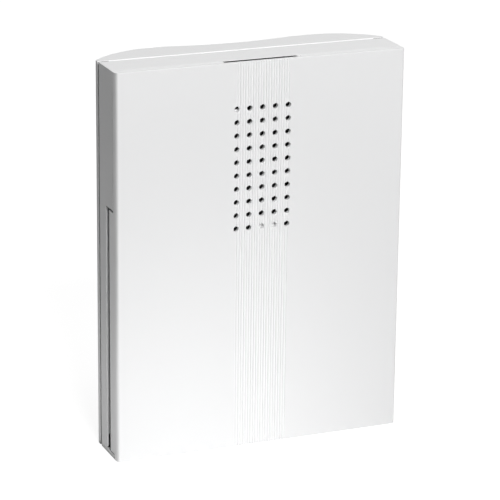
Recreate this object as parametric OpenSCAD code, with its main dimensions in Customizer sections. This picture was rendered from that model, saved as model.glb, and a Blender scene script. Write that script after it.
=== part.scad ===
// Wall-mounted two-note doorbell chime box.
// Millimetres. +Z is up, +X is to the right seen from the front, the front faces -Y.
// The origin is the centre of the four wall screw holes, on the plane of the wall.

/* [Case] */
// Width of the case
body_w = 153; // [128:1:190]
// Height of the case
body_h = 200; // [170:1:245]
// Depth of the base, from the wall to the parting line
base_d = 18; // [16:0.5:24]
// Depth of the frame, from the parting line to the seat of the front panel
frame_d = 21.5; // [20.5:0.5:30]
// Depth of the front panel's rim
panel_d = 4.5; // [4:0.1:7]
// Wall of the frame and the base
wall_t = 2.8; // [2:0.1:3.5]
// Floor of the base
floor_t = 2.5; // [2:0.1:3]
// Width of the shadow line between the base and the frame
shadow_w = 1.7; // [0.6:0.1:2.2]
// Depth of the shadow line
shadow_t = 1.1; // [0.4:0.1:1.2]
// Width of the finer line round the seat of the front panel
seam_w = 0.25; // [0.1:0.05:0.5]
// Gap between the base's tongue and the frame
tongue_gap = 0.2; // [0.1:0.05:0.4]

/* [Bowed back] */
// Distance from the side to the crest of a bow
bow_inset = 35.5; // [30:0.5:40]
// Radius of a bow
bow_r = 48; // [46:1:60]
// How far a crest is cut flat to rest on the wall
crest_cut = 0.6; // [0.3:0.1:1]
// Depth of the cable channel between the bows
channel_d = 3.6; // [3:0.1:4.5]

/* [Frame] */
// Thickness of the deck behind the panel
deck_t = 2; // [1.6:0.1:3]
// Width of the deck's rim, from the outside
deck_rim = 8.5; // [8.5:0.5:12]
// Height of a crossbar
crossbar_h = 8; // [5:0.5:10]
// Height of the lower crossbar above the centre
crossbar_low_z = 9; // [6:1:12]
// Height of the upper crossbar above the centre
crossbar_high_z = 69; // [60:1:76]
// Radius of the lower rest post, which shows behind the lowest holes
rest_post_r = 8.5; // [5:0.5:9]
// Radius of the upper rest post, which shows behind the top left hole
small_post_r = 3; // [2:0.5:4]
// Length of the pry slot in the top edge
pry_slot_l = 39; // [30:1:45]
// How far the pry slot goes into the frame's top edge
pry_slot_w = 1; // [0.6:0.1:1.6]
// Thickness of the skin over the pry slot's undercut, at its edge
pry_skin = 0.3; // [0.2:0.05:0.6]

/* [Pull groove] */
// How far the groove and flange run up the left side, from the bottom
groove_h = 130; // [100:1:140]
// Depth of the recess into the side
groove_depth = 5; // [4.6:0.1:6]
// Width of the open groove behind the flange
groove_w = 4.7; // [4.6:0.1:6]
// Height of the lip below the flange
lip_h = 2.3; // [1.5:0.1:4]
// Height of the slit in the groove's rear wall, at its foot
slit_h = 7; // [5:0.5:10]
// Width of the slit
slit_w = 2.8; // [2.6:0.1:3.2]
// Skin left between the slit and the outside
slit_skin = 0.9; // [0.6:0.1:1.2]

/* [Front panel] */
// Thickness of the panel's face
panel_t = 2.5; // [2:0.1:3]
// Width of the panel's rim
panel_rim_w = 2.2; // [1.6:0.1:3]
// Radius of the curve of the panel's side edges
panel_crown_r = 10; // [8:0.5:20]
// Depth of the side flange, from the front
flange_d = 10.2; // [9:0.1:14]
// Thickness of the side flange
flange_t = 3.2; // [2.4:0.1:3.6]
// Clearance above the flange
flange_top_gap = 0.9; // [0.5:0.1:1.5]
// Clearance below the flange
flange_foot_gap = 0.5; // [0.2:0.1:0.8]
// Radius of a friction peg
peg_r = 1.8; // [1.4:0.1:2.2]
// How far a peg goes into its socket
peg_reach = 5; // [3:0.5:7]
// Distance of a peg from the centre line
peg_x = 42; // [35:1:48]
// Radial clearance of a peg
peg_fit = 0.05; // [0.03:0.01:0.1]

/* [Sound holes and ribs] */
// Columns of holes
hole_cols = 5; // [3:1:7]
// Rows of holes
hole_rows = 10; // [6:1:12]
// Distance between holes
hole_pitch = 6.8; // [6:0.1:7.5]
// Radius of a hole
hole_r = 1.4; // [1:0.1:1.8]
// Height of the top row below the top edge
hole_drop = 23.4; // [20:0.1:30]
// Fine grooves to each hole pitch
grooves_per_pitch = 5; // [3:1:6]
// Width of a fine groove
rib_groove_w = 0.6; // [0.3:0.05:0.7]
// Depth of a fine groove
rib_groove_t = 0.35; // [0.15:0.05:0.5]

/* [Tone plates] */
// Length of the left plate, the lower note
plate_left_l = 132; // [110:1:140]
// Length of the right plate, the higher note
plate_right_l = 112; // [95:1:130]
// Width of a plate
plate_w = 24; // [20:0.5:25]
// Thickness of a plate
plate_t = 2.5; // [2:0.1:3.5]
// Distance from the side of the case to the middle of a plate
plate_inset = 21.5; // [20:0.5:25]
// Height of the striking line above the centre
strike_z = -12; // [-16:1:-8]
// Share of a plate's length from its end to a still point
still_share = 0.224; // [0.21:0.002:0.24]

/* [Hangers] */
// Radius of a hanger pin
pin_r = 1.5; // [1.2:0.1:1.8]
// Radius of the hole in a plate
plate_hole_r = 4; // [3.5:0.1:4.5]
// Radius of a grommet's collar
grommet_r = 5.6; // [5:0.1:6.5]
// Thickness of a grommet's collar
grommet_collar_t = 2; // [1.5:0.1:2.5]
// Radius of a hanger post
post_r = 4; // [3:0.5:5]
// Depth of a pin's hole in its post
pin_hole_d = 6; // [4:0.5:7]
// Radius of a push-on clip
clip_r = 3.6; // [3:0.1:4]
// Thickness of a push-on clip
clip_t = 0.8; // [0.6:0.1:1]
// Clearance between fixed pieces that seat in each other
seat_gap = 0.05; // [0.02:0.01:0.1]

/* [Solenoid] */
// Height of the mounting pads above the wall
seat_h = 8; // [7.5:0.5:9]
// Thickness of the steel yoke
yoke_t = 1.8; // [1.5:0.1:2.2]
// Length of the yoke between its outer faces
yoke_l = 48; // [44:1:52]
// Width of the yoke
yoke_w = 22; // [20:0.5:24]
// Length of a yoke foot
yoke_foot = 10; // [9:0.5:12]
// Radius of the bobbin's cheeks
cheek_r = 10.5; // [9.5:0.1:11]
// Thickness of a cheek
cheek_t = 1.2; // [1:0.1:2]
// Radius of the winding
winding_r = 9.6; // [8:0.1:10]
// Wall of the bobbin's barrel
barrel_t = 1; // [0.8:0.1:1.2]
// Radius of the plunger's core
core_r = 4; // [3.5:0.1:4.2]
// Length of the core
core_l = 28; // [24:1:30]
// Radial clearance of the core in its tube
core_fit = 0.08; // [0.04:0.01:0.1]
// Wall of the guide tube
tube_t = 0.6; // [0.5:0.05:0.8]
// How far the core rests to the right of the coil's middle
core_rest = 8; // [6:0.5:9]

/* [Strikers] */
// Travel to the left plate
strike_travel = 8.7; // [7:0.1:9]
// Travel past rest to the right plate
rebound_travel = 2.7; // [2:0.1:4]
// Gap left at a plate at the end of a stroke
strike_gap = 0.3; // [0.2:0.1:0.5]
// Radius of a striker rod
rod_r = 1.6; // [1.3:0.1:1.8]
// Radius of a striker tip
tip_r = 3.4; // [3:0.1:4]
// Length of a striker tip
tip_l = 6; // [5:0.5:8]
// Depth of the sockets in the core and the tips
socket_d = 4; // [3:0.5:4.5]
// Length of the return spring at rest
spring_l = 14; // [13:0.5:15]
// Radius of the spring's wire
wire_r = 0.25; // [0.2:0.05:0.3]
// Turns of the spring
spring_turns = 7; // [5:1:8]
// Thickness of the spring collar
collar_t = 1.2; // [1:0.1:2]

/* [Terminals] */
// Height of the terminal block's middle above the centre
terminal_z = -56; // [-60:1:-50]
// Width of the terminal block
terminal_w = 22; // [20:1:26]
// Height of the terminal block
terminal_h = 12; // [11:0.5:14]
// Depth of the terminal block
terminal_d = 14; // [13:0.5:16]
// Distance between the terminals
terminal_pitch = 10; // [9:0.5:11]
// Radius of a wire hole
wire_hole_r = 1.6; // [1.2:0.1:1.8]

/* [Wall and cable] */
// Height between the wall screws, which stand on the crests of the bows
wall_hole_h = 140; // [130:1:150]
// Radius of a wall screw hole
wall_hole_r = 2.25; // [2:0.05:2.6]
// Height of the cable grommet above the centre
cable_z = -80; // [-84:1:-76]
// Radius of the cable grommet's bore
cable_r = 3.5; // [2.5:0.1:4]
// Wall of the cable grommet
cable_wall = 1.5; // [1.2:0.1:2]

/* [Screws] */
// Radius of a screw's shank
screw_r = 1.38; // [1.2:0.02:1.5]
// Radial clearance of a shank in its pilot hole
pilot_gap = 0.04; // [0.02:0.01:0.08]
// Radial clearance of a shank in the piece it holds
through_gap = 0.5; // [0.3:0.1:0.7]
// Radius of a screw head
head_r = 2.9; // [2.6:0.1:3.2]
// Height of a screw head
head_h = 2; // [1.6:0.1:2.4]
// Radius of a screw boss
boss_r = 4.6; // [4:0.1:5]
// Distance from the side to a frame screw
frame_screw_x = 12.5; // [12.5:0.5:16]
// Distance from the top or bottom to a frame screw
frame_screw_z = 12; // [10:0.5:14]

/* [Hidden] */
$fn = 64;
cut = 1;

y_part = -base_d;
y_seat = y_part - frame_d;
y_front = y_seat - panel_d;
y_face_back = y_front + panel_t;
y_deck_back = y_seat + deck_t;

bow_x = body_w / 2 - bow_inset;
bow_y = crest_cut - bow_r;
// The channel's arc is a little flatter than the one that just touches both bows,
// so that it crosses them at a clear point
channel_reach = channel_d + crest_cut;
arc_sum = (bow_x * bow_x + channel_reach * channel_reach) / (2 * channel_reach);
flatter_by = 1;
channel_r = arc_sum - bow_r + flatter_by;
channel_y = channel_r - channel_d;

groove_x = -body_w / 2 + groove_depth;
groove_back_y = y_front + flange_d + groove_w;
groove_top_z = -body_h / 2 + groove_h;
recess_wall = 2;

hole_x0 = -(hole_cols - 1) / 2 * hole_pitch;
hole_top_z = body_h / 2 - hole_drop;
rib_count = (hole_cols - 1) * grooves_per_pitch + 1;
rib_pitch = hole_pitch / grooves_per_pitch;

axis_clear = 0.7;
axis_y = -(seat_h + yoke_t + cheek_r + axis_clear);
plate_x = body_w / 2 - plate_inset;
plate_corner_r = 3;
tube_r = core_r + core_fit + tube_t;
yoke_half = yoke_l / 2;
coil_half = yoke_half - yoke_t - 0.2;
barrel_r = tube_r + seat_gap + barrel_t;
yoke_screw_x = yoke_half + yoke_foot / 2;
lug_x = coil_half - 3;
lug_l = 5;
ledge_z = strike_z - cheek_r - 1.5;

core_x0 = core_rest - core_l / 2;
core_x1 = core_rest + core_l / 2;
tip_left_x = -plate_x + plate_t / 2 + strike_gap + strike_travel;
tip_right_x = plate_x - plate_t / 2 - strike_gap - rebound_travel;
spring_x = yoke_half;
collar_r = tube_r + 0.5;
spring_r = tube_r - wire_r - 0.05;

grommet_l = plate_t + 2 * seat_gap + 2 * grommet_collar_t;
grommet_outer_x = plate_x + grommet_l / 2 + seat_gap;
clip_x = plate_x - grommet_l / 2 - seat_gap - clip_t;
pin_end_x = clip_x - 1;

terminal_seat_y = -seat_h;
clamp_w = 4.8;
clamp_y0 = terminal_seat_y - 2;
clamp_d = 6;
wire_y = clamp_y0 - 2.6;
ear_w = 6;
ear_t = 3;
ear_x = terminal_w / 2 + ear_w / 2;

screw_x = body_w / 2 - frame_screw_x;
screw_z = body_h / 2 - frame_screw_z;
screw_seat_y = y_part - 3.5;
frame_screw_l = 12;
peg_z = body_h / 2 - (deck_rim + wall_t) / 2;

// Hand-set routes of the two coil leads, from a lug to a terminal
lead_r = 0.7;
lead_sides = 8;
lead_drop = 3;

// Box between two corners
module slab(lo, hi) {
    translate(lo) cube(hi - lo);
}

// Round bar along X
module rod_x(r, x0, x1, y, z) {
    translate([x0, y, z]) rotate([0, 90, 0]) cylinder(r = r, h = x1 - x0);
}

// Round bar along Y
module rod_y(r, y0, y1, x, z) {
    translate([x, y0, z]) rotate([-90, 0, 0]) cylinder(r = r, h = y1 - y0);
}

// Rectangle with round corners, centred
module round_rect(w, h, r) {
    square([w - 2 * r, h], center = true);
    square([w, h - 2 * r], center = true);
    for (sx = [-1, 1], sy = [-1, 1])
        translate([sx * (w / 2 - r), sy * (h / 2 - r)]) circle(r = r);
}

// Plan outline of the front panel, back to y_far. Its sides curve in from the seat to the front.
module panel_plan(y_far) {
    crown_x = body_w / 2 - panel_crown_r;
    intersection() {
        translate([-body_w / 2, y_front]) square([body_w, y_far - y_front]);
        union() {
            translate([-body_w / 2, y_seat]) square([body_w, flange_d]);
            translate([-crown_x, y_front - cut]) square([2 * crown_x, panel_d + 2 * cut]);
            for (s = [-1, 1]) translate([s * crown_x, y_seat]) circle(r = panel_crown_r);
        }
    }
}

// Plan outline of the base: two bows joined by the arc of the cable channel.
// The outline shrinks evenly by inset, and runs forward to y_near.
module bow_plan(inset, y_near) {
    intersection() {
        translate([-body_w / 2 + inset, y_near])
            square([body_w - 2 * inset, -inset - y_near]);
        union() {
            for (s = [-1, 1]) translate([s * bow_x, bow_y]) circle(r = bow_r - inset, $fn = 180);
            difference() {
                polygon([[-bow_x, bow_y], [bow_x, bow_y], [0, channel_y]]);
                translate([0, channel_y]) circle(r = channel_r + inset, $fn = 360);
            }
        }
    }
}

// Solid of the base's outline, as tall as the case less a margin at each end
module bow_solid(inset, y_near) {
    translate([0, 0, -body_h / 2 + inset]) linear_extrude(height = body_h - 2 * inset)
        bow_plan(inset, y_near);
}

// Screw along Y with its head towards the front and a cross recess
module pan_screw(x, z, y_head, l) {
    cross_w = 0.8;
    cross_l = 3.2;
    difference() {
        union() {
            rod_y(screw_r, y_head, y_head + l, x, z);
            rod_y(head_r, y_head - head_h, y_head, x, z);
        }
        for (size = [[cross_w, cross_l], [cross_l, cross_w]])
            slab([x - size[0] / 2, y_head - head_h - cut, z - size[1] / 2],
                 [x + size[0] / 2, y_head - head_h + 1.1, z + size[1] / 2]);
    }
}

// Heights of a plate's two still points, where it is hung
function still_z(l) = [strike_z + (0.5 - still_share) * l, strike_z - (0.5 - still_share) * l];
function plate_l(side) = side < 0 ? plate_left_l : plate_right_l;

// Hanger post that grows from the base beside a plate
module hanger_post(side, z) {
    x0 = grommet_outer_x;
    x1 = x0 + pin_hole_d + 2;
    difference() {
        union() {
            slab([min(side * x0, side * x1), axis_y, z - post_r],
                 [max(side * x0, side * x1), 0, z + post_r]);
            rod_x(post_r, min(side * x0, side * x1), max(side * x0, side * x1), axis_y, z);
        }
        rod_x(pin_r + seat_gap / 2, side * x0 - (side > 0 ? cut : pin_hole_d),
              side * x0 + (side > 0 ? pin_hole_d : cut), axis_y, z);
    }
}

// Stiffening ribs across the floor of the base
module floor_ribs() {
    rib_t = 1.4;
    rib_top = -(seat_h - 0.6);
    for (z = [0.18, 0.31, 0.43] * body_h)
        slab([-body_w / 2, rib_top, z - rib_t / 2], [body_w / 2, 0, z + rib_t / 2]);
}

// Everything that stands up from the floor of the base
module base_fittings() {
    for (sx = [-1, 1], sz = [-1, 1]) rod_y(boss_r, y_part, 0, sx * screw_x, sz * screw_z);
    for (side = [-1, 1], z = still_z(plate_l(side))) hanger_post(side, z);
    for (s = [-1, 1])
        slab([min(s * (yoke_half - 3), s * (yoke_half + yoke_foot)), -seat_h, strike_z - yoke_w / 2],
             [max(s * (yoke_half - 3), s * (yoke_half + yoke_foot)), 0, strike_z + yoke_w / 2]);
    slab([-ear_x - ear_w / 2, terminal_seat_y, terminal_z - terminal_h / 2],
         [ear_x + ear_w / 2, 0, terminal_z + terminal_h / 2]);
    floor_ribs();
}

// Tongue that locates the frame on the base, with a thicker root inside the base's wall
module locating_tongue() {
    tongue_t = 1.4;
    tongue_h = 3;
    root_d = 2;
    x1 = body_w / 2 - wall_t - tongue_gap;
    z1 = body_h / 2 - wall_t - tongue_gap;
    difference() {
        union() {
            slab([-x1, y_part - tongue_h, -z1], [x1, y_part + root_d, z1]);
            slab([-body_w / 2, y_part, -body_h / 2], [body_w / 2, y_part + root_d, body_h / 2]);
        }
        slab([-x1 + tongue_t, y_part - tongue_h - cut, -z1 + tongue_t],
             [x1 - tongue_t, y_part + root_d + cut, z1 - tongue_t]);
    }
}

module base_shell() {
    pilot_r = screw_r + pilot_gap;
    color("whitesmoke") difference() {
        union() {
            difference() {
                bow_solid(0, y_part);
                bow_solid(floor_t, y_part - cut);
            }
            intersection() {
                bow_solid(floor_t / 2, y_part - 5 - frame_d);
                union() {
                    base_fittings();
                    locating_tongue();
                }
            }
        }
        for (sx = [-1, 1], sz = [-1, 1]) {
            rod_y(pilot_r, y_part - cut, screw_seat_y + frame_screw_l + 0.5, sx * screw_x, sz * screw_z);
            rod_y(wall_hole_r, -floor_t - 2 * cut, cut, sx * bow_x, sz * wall_hole_h / 2);
        }
        for (s = [-1, 1]) {
            rod_y(pilot_r, -seat_h - cut, -seat_h + 4.8, s * yoke_screw_x, strike_z);
            rod_y(pilot_r, -seat_h - cut, -seat_h + 3.4, s * ear_x, terminal_z);
        }
        rod_y(cable_r + cable_wall, -floor_t - channel_d - 2 * cut, cut, 0, cable_z);
    }
}

// Walls that carry the recess of the pull groove round the inside
module groove_walls() {
    slab([-body_w / 2, y_seat, -body_h / 2],
         [groove_x + recess_wall, groove_back_y + recess_wall, groove_top_z + recess_wall]);
}

// Recess in the left side: the flange fills its front part, the rest is the groove
module groove_recess() {
    slab([-body_w / 2 - cut, y_seat - cut, -body_h / 2 + lip_h],
         [groove_x, groove_back_y, groove_top_z]);
    slab([-body_w / 2 + slit_skin, groove_back_y - cut, -body_h / 2 + wall_t],
         [-body_w / 2 + slit_skin + slit_w, groove_back_y + 2 * recess_wall, -body_h / 2 + wall_t + slit_h]);
}

// Crossbar between the side rims, with the post that backs the panel
module crossbar(z, post_x, post_z, r) {
    bar_t = 2.5;
    rest_gap = 0.2;
    x1 = body_w / 2 - wall_t;
    slab([groove_x + recess_wall / 2, y_seat + cut, z - crossbar_h / 2],
         [x1 + wall_t / 2, y_seat + cut + bar_t, z + crossbar_h / 2]);
    rod_y(r, y_face_back + rest_gap, y_seat + cut + bar_t, post_x, post_z);
}

// Shadow line of depth t, cut round the outside between y0 and y1
module shadow_line(t, y0, y1) {
    difference() {
        slab([-body_w, y0, -body_h], [body_w, y1, body_h]);
        slab([-body_w / 2 + t, y0 - cut, -body_h / 2 + t], [body_w / 2 - t, y1 + cut, body_h / 2 - t]);
    }
}

// Pry slot in the top edge: a notch behind the panel, and an undercut whose roof slopes back
module pry_slot() {
    undercut_d = 7;
    roof_fall = 1.2;
    y_edge = y_seat + pry_slot_w;
    z_top = body_h / 2;
    slab([-pry_slot_l / 2, y_seat - cut, z_top - wall_t - cut], [pry_slot_l / 2, y_edge, z_top + cut]);
    translate([-pry_slot_l / 2, 0, 0]) rotate([90, 0, 90]) linear_extrude(height = pry_slot_l)
        polygon([[y_edge - cut, z_top - pry_skin], [y_edge, z_top - pry_skin],
                 [y_edge + undercut_d, z_top - pry_skin - roof_fall],
                 [y_edge + undercut_d, z_top - wall_t - cut], [y_edge - cut, z_top - wall_t - cut]]);
}

module cover_frame() {
    gusset_w = frame_screw_x + boss_r + 1;
    gusset_h = frame_screw_z + boss_r + 1;
    socket_wall = 1.6;
    head_gap = 0.4;
    seam_t = 0.6;
    inner_x = body_w / 2 - wall_t;
    inner_z = body_h / 2 - wall_t;
    color("white") difference() {
        union() {
            difference() {
                slab([-body_w / 2, y_seat, -body_h / 2], [body_w / 2, y_part, body_h / 2]);
                slab([-inner_x, y_deck_back, -inner_z], [inner_x, y_part + cut, inner_z]);
                difference() {
                    slab([-body_w / 2 + deck_rim, y_seat - cut, -body_h / 2 + deck_rim],
                         [body_w / 2 - deck_rim, y_deck_back + cut, body_h / 2 - deck_rim]);
                    for (sx = [-1, 1], sz = [-1, 1])
                        translate([sx * body_w / 2, y_seat, sz * body_h / 2])
                            cube([2 * gusset_w, 4 * deck_t, 2 * gusset_h], center = true);
                }
            }
            groove_walls();
            for (sx = [-1, 1], sz = [-1, 1]) {
                rod_y(boss_r, y_seat, y_part, sx * screw_x, sz * screw_z);
                rod_y(peg_r + socket_wall, y_seat, y_seat + peg_reach + 1, sx * peg_x, sz * peg_z);
            }
            crossbar(crossbar_low_z, hole_pitch * 0.65, crossbar_low_z + 1, rest_post_r);
            crossbar(crossbar_high_z, hole_x0, crossbar_high_z + crossbar_h / 2, small_post_r);
        }
        groove_recess();
        for (sx = [-1, 1], sz = [-1, 1]) {
            rod_y(head_r + head_gap, y_seat - cut, screw_seat_y, sx * screw_x, sz * screw_z);
            rod_y(screw_r + through_gap, screw_seat_y - cut, y_part + cut, sx * screw_x, sz * screw_z);
            rod_y(peg_r + peg_fit, y_seat - cut, y_seat + peg_reach + 1 + cut, sx * peg_x, sz * peg_z);
        }
        pry_slot();
        shadow_line(shadow_t, y_part - shadow_w, y_part + cut);
        shadow_line(seam_t, y_seat - cut, y_seat + seam_w);
    }
}

// Grid of sound holes
module sound_holes() {
    for (col = [0 : hole_cols - 1], row = [0 : hole_rows - 1])
        rod_y(hole_r, y_front - cut, y_face_back + cut,
              hole_x0 + col * hole_pitch, hole_top_z - row * hole_pitch, $fn = 32);
}

// Fine upright grooves over the whole height
module fine_grooves() {
    for (k = [0 : rib_count - 1])
        slab([hole_x0 + k * rib_pitch - rib_groove_w / 2, y_front - cut, -body_h / 2 - cut],
             [hole_x0 + k * rib_pitch + rib_groove_w / 2, y_front + rib_groove_t, body_h / 2 + cut]);
}

// Flange that wraps the lower left side and makes the edge of the pull groove
module side_flange() {
    z0 = -body_h / 2 + lip_h + flange_foot_gap;
    z1 = groove_top_z - flange_top_gap;
    intersection() {
        translate([0, 0, z0]) linear_extrude(height = z1 - z0) panel_plan(y_front + flange_d);
        slab([-body_w / 2 - cut, y_front - cut, z0 - cut], [-body_w / 2 + flange_t, y_part, z1 + cut]);
    }
}

// Notches in the panel's top rim: the front of the pry slot, and a small mark beside its right end
module pry_notches() {
    mark_gap = 1;
    mark_w = 0.8;
    for (x = [[-pry_slot_l / 2, pry_slot_l / 2],
              [pry_slot_l / 2 + mark_gap, pry_slot_l / 2 + mark_gap + mark_w]])
        slab([x[0], y_face_back, body_h / 2 - panel_rim_w - cut], [x[1], y_seat + cut, body_h / 2 + cut]);
}

module front_panel() {
    seat_line = 0.1;
    color("white") difference() {
        union() {
            difference() {
                translate([0, 0, -body_h / 2]) linear_extrude(height = body_h)
                    panel_plan(y_seat - seat_line);
                slab([-body_w / 2 + panel_rim_w, y_face_back, -body_h / 2 + panel_rim_w],
                     [body_w / 2 - panel_rim_w, y_seat + cut, body_h / 2 - panel_rim_w]);
            }
            side_flange();
            for (sx = [-1, 1], sz = [-1, 1])
                rod_y(peg_r, y_face_back - cut, y_seat + peg_reach, sx * peg_x, sz * peg_z);
        }
        sound_holes();
        fine_grooves();
        pry_notches();
    }
}

module frame_screws() {
    color("silver") for (sx = [-1, 1], sz = [-1, 1])
        pan_screw(sx * screw_x, sz * screw_z, screw_seat_y, frame_screw_l);
}

// Steel plate hung at its two still points
module tone_plate(side) {
    l = plate_l(side);
    color("lightsteelblue") difference() {
        translate([side * plate_x - plate_t / 2, axis_y, strike_z]) rotate([0, 90, 0])
            linear_extrude(height = plate_t) round_rect(l, plate_w, plate_corner_r);
        for (z = still_z(l))
            rod_x(plate_hole_r, side * plate_x - plate_t, side * plate_x + plate_t, axis_y, z);
    }
}

module tone_plate_left() { tone_plate(-1); }
module tone_plate_right() { tone_plate(1); }

// Places its child at each hanger, turned so that the child's +X points outwards
module at_hangers() {
    for (side = [-1, 1], z = still_z(plate_l(side)))
        translate([0, axis_y, z]) mirror([side < 0 ? 1 : 0, 0, 0]) children();
}

module hanger_pins() {
    color("silver") at_hangers()
        rod_x(pin_r, pin_end_x, grommet_outer_x + pin_hole_d - 0.5, 0, 0);
}

module tone_grommets() {
    color("dimgray") at_hangers() difference() {
        union() {
            rod_x(plate_hole_r - seat_gap, plate_x - grommet_l / 2, plate_x + grommet_l / 2, 0, 0);
            for (x = [plate_x - grommet_l / 2, plate_x + grommet_l / 2 - grommet_collar_t])
                rod_x(grommet_r, x, x + grommet_collar_t, 0, 0);
        }
        rod_x(pin_r + seat_gap, 0, body_w / 2, 0, 0);
    }
}

module pin_clips() {
    color("silver") at_hangers() difference() {
        rod_x(clip_r, clip_x, clip_x + clip_t, 0, 0);
        rod_x(pin_r + seat_gap / 2, clip_x - cut, clip_x + clip_t + cut, 0, 0);
        for (a = [0 : 60 : 300]) rotate([a, 0, 0])
            slab([clip_x - cut, -0.25, 0], [clip_x + clip_t + cut, 0.25, pin_r + 0.9]);
    }
}

// Channel-shaped yoke: a back plate with two feet, and an upright plate at each end
module solenoid_yoke() {
    color("lightgray") difference() {
        union() {
            slab([-yoke_half - yoke_foot, -seat_h - yoke_t, strike_z - yoke_w / 2],
                 [yoke_half + yoke_foot, -seat_h, strike_z + yoke_w / 2]);
            for (x = [-yoke_half, yoke_half - yoke_t]) {
                slab([x, axis_y, strike_z - yoke_w / 2], [x + yoke_t, -seat_h, strike_z + yoke_w / 2]);
                rod_x(yoke_w / 2, x, x + yoke_t, axis_y, strike_z);
            }
        }
        rod_x(tube_r + seat_gap, -yoke_half - cut, yoke_half + cut, axis_y, strike_z);
        for (s = [-1, 1])
            rod_y(screw_r + through_gap, -seat_h - yoke_t - cut, -seat_h + cut, s * yoke_screw_x, strike_z);
    }
}

module yoke_screws() {
    color("silver") for (s = [-1, 1])
        pan_screw(s * yoke_screw_x, strike_z, -seat_h - yoke_t, yoke_t + 4.5);
}

module coil_bobbin() {
    color("ivory") difference() {
        union() {
            rod_x(barrel_r, -coil_half, coil_half, axis_y, strike_z);
            for (x = [-coil_half, coil_half - cheek_t]) rod_x(cheek_r, x, x + cheek_t, axis_y, strike_z);
            for (s = [-1, 1])
                slab([min(s * coil_half, s * (coil_half - 5)), axis_y - 3, ledge_z],
                     [max(s * coil_half, s * (coil_half - 5)), axis_y + 3, ledge_z + 1.5]);
            for (s = [-1, 1])
                slab([min(s * coil_half, s * (coil_half - cheek_t)), axis_y - 3, ledge_z],
                     [max(s * coil_half, s * (coil_half - cheek_t)), axis_y + 3, strike_z - barrel_r]);
        }
        rod_x(tube_r + seat_gap, -coil_half - cut, coil_half + cut, axis_y, strike_z);
    }
}

module coil_winding() {
    color("chocolate") difference() {
        rod_x(winding_r, -coil_half + cheek_t + 0.1, coil_half - cheek_t - 0.1, axis_y, strike_z);
        rod_x(barrel_r + seat_gap, -coil_half, coil_half, axis_y, strike_z);
    }
}

module guide_tube() {
    color("goldenrod") difference() {
        rod_x(tube_r, -yoke_half, yoke_half, axis_y, strike_z);
        rod_x(core_r + core_fit, -yoke_half - cut, yoke_half + cut, axis_y, strike_z);
    }
}

module plunger_core() {
    color("slategray") difference() {
        rod_x(core_r, core_x0, core_x1, axis_y, strike_z);
        rod_x(rod_r + seat_gap / 2, core_x0 - cut, core_x0 + socket_d, axis_y, strike_z);
        rod_x(rod_r + seat_gap / 2, core_x1 - socket_d, core_x1 + cut, axis_y, strike_z);
    }
}

module striker_rod_left() {
    color("white") rod_x(rod_r, tip_left_x + tip_l - socket_d, core_x0 + socket_d, axis_y, strike_z);
}

module striker_rod_right() {
    color("white") rod_x(rod_r, core_x1 - socket_d, tip_right_x - tip_l + socket_d, axis_y, strike_z);
}

// Domed tip that points along +X from its socket end
module striker_tip() {
    dome_h = tip_l - socket_d;
    dome_r = (tip_r * tip_r + dome_h * dome_h) / (2 * dome_h);
    rotate([0, 90, 0]) difference() {
        union() {
            cylinder(r = tip_r, h = socket_d);
            intersection() {
                translate([0, 0, tip_l - dome_r]) sphere(r = dome_r);
                translate([0, 0, socket_d]) cylinder(r = tip_r, h = tip_l);
            }
        }
        translate([0, 0, -cut]) cylinder(r = rod_r + seat_gap / 2, h = socket_d + cut);
    }
}

module striker_tip_left() {
    color("white") translate([tip_left_x + tip_l, axis_y, strike_z]) rotate([0, 0, 180]) striker_tip();
}

module striker_tip_right() {
    color("white") translate([tip_right_x - tip_l, axis_y, strike_z]) striker_tip();
}

module spring_collar() {
    color("silver") difference() {
        rod_x(collar_r, spring_x + spring_l, spring_x + spring_l + collar_t, axis_y, strike_z);
        rod_x(rod_r + seat_gap / 2, spring_x, body_w / 2, axis_y, strike_z);
    }
}

// Ring of points round a path's point, square to the direction d
function ring(p, d, r, sides) = let (
    n = d / norm(d),
    u0 = abs(n[2]) < 0.9 ? cross(n, [0, 0, 1]) : cross(n, [0, 1, 0]),
    u = u0 / norm(u0),
    v = cross(n, u)
) [for (i = [0 : sides - 1]) p + r * (cos(360 * i / sides) * u + sin(360 * i / sides) * v)];

// Round bar swept along a list of points
module swept_bar(path, r, sides) {
    last = len(path) - 1;
    points = [for (i = [0 : last])
        each ring(path[i], path[min(i + 1, last)] - path[max(i - 1, 0)], r, sides)];
    walls = [for (i = [0 : last - 1], k = [0 : sides - 1]) let (n = (k + 1) % sides)
        [i * sides + k, (i + 1) * sides + k, (i + 1) * sides + n, i * sides + n]];
    start_cap = [[for (k = [0 : sides - 1]) k]];
    end_cap = [[for (k = [sides - 1 : -1 : 0]) last * sides + k]];
    polyhedron(points = points, faces = concat(walls, start_cap, end_cap), convexity = 8);
}

// Compression spring round the right rod, with its end turns closed
module return_spring() {
    steps = 16;
    count = spring_turns * steps;
    rise_l = spring_l - 2 * wire_r - 0.1;
    path = [for (i = [0 : count]) let (
        t = i / count,
        eased = t + 0.06 * (sin(360 * t) * -1),
        a = 360 * i / steps
    ) [spring_x + wire_r + 0.05 + rise_l * eased,
       axis_y + spring_r * cos(a), strike_z + spring_r * sin(a)]];
    color("silver") swept_bar(path, wire_r, 6);
}

// Centre of one terminal way
function way_x(s) = s * terminal_pitch / 2;

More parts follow.
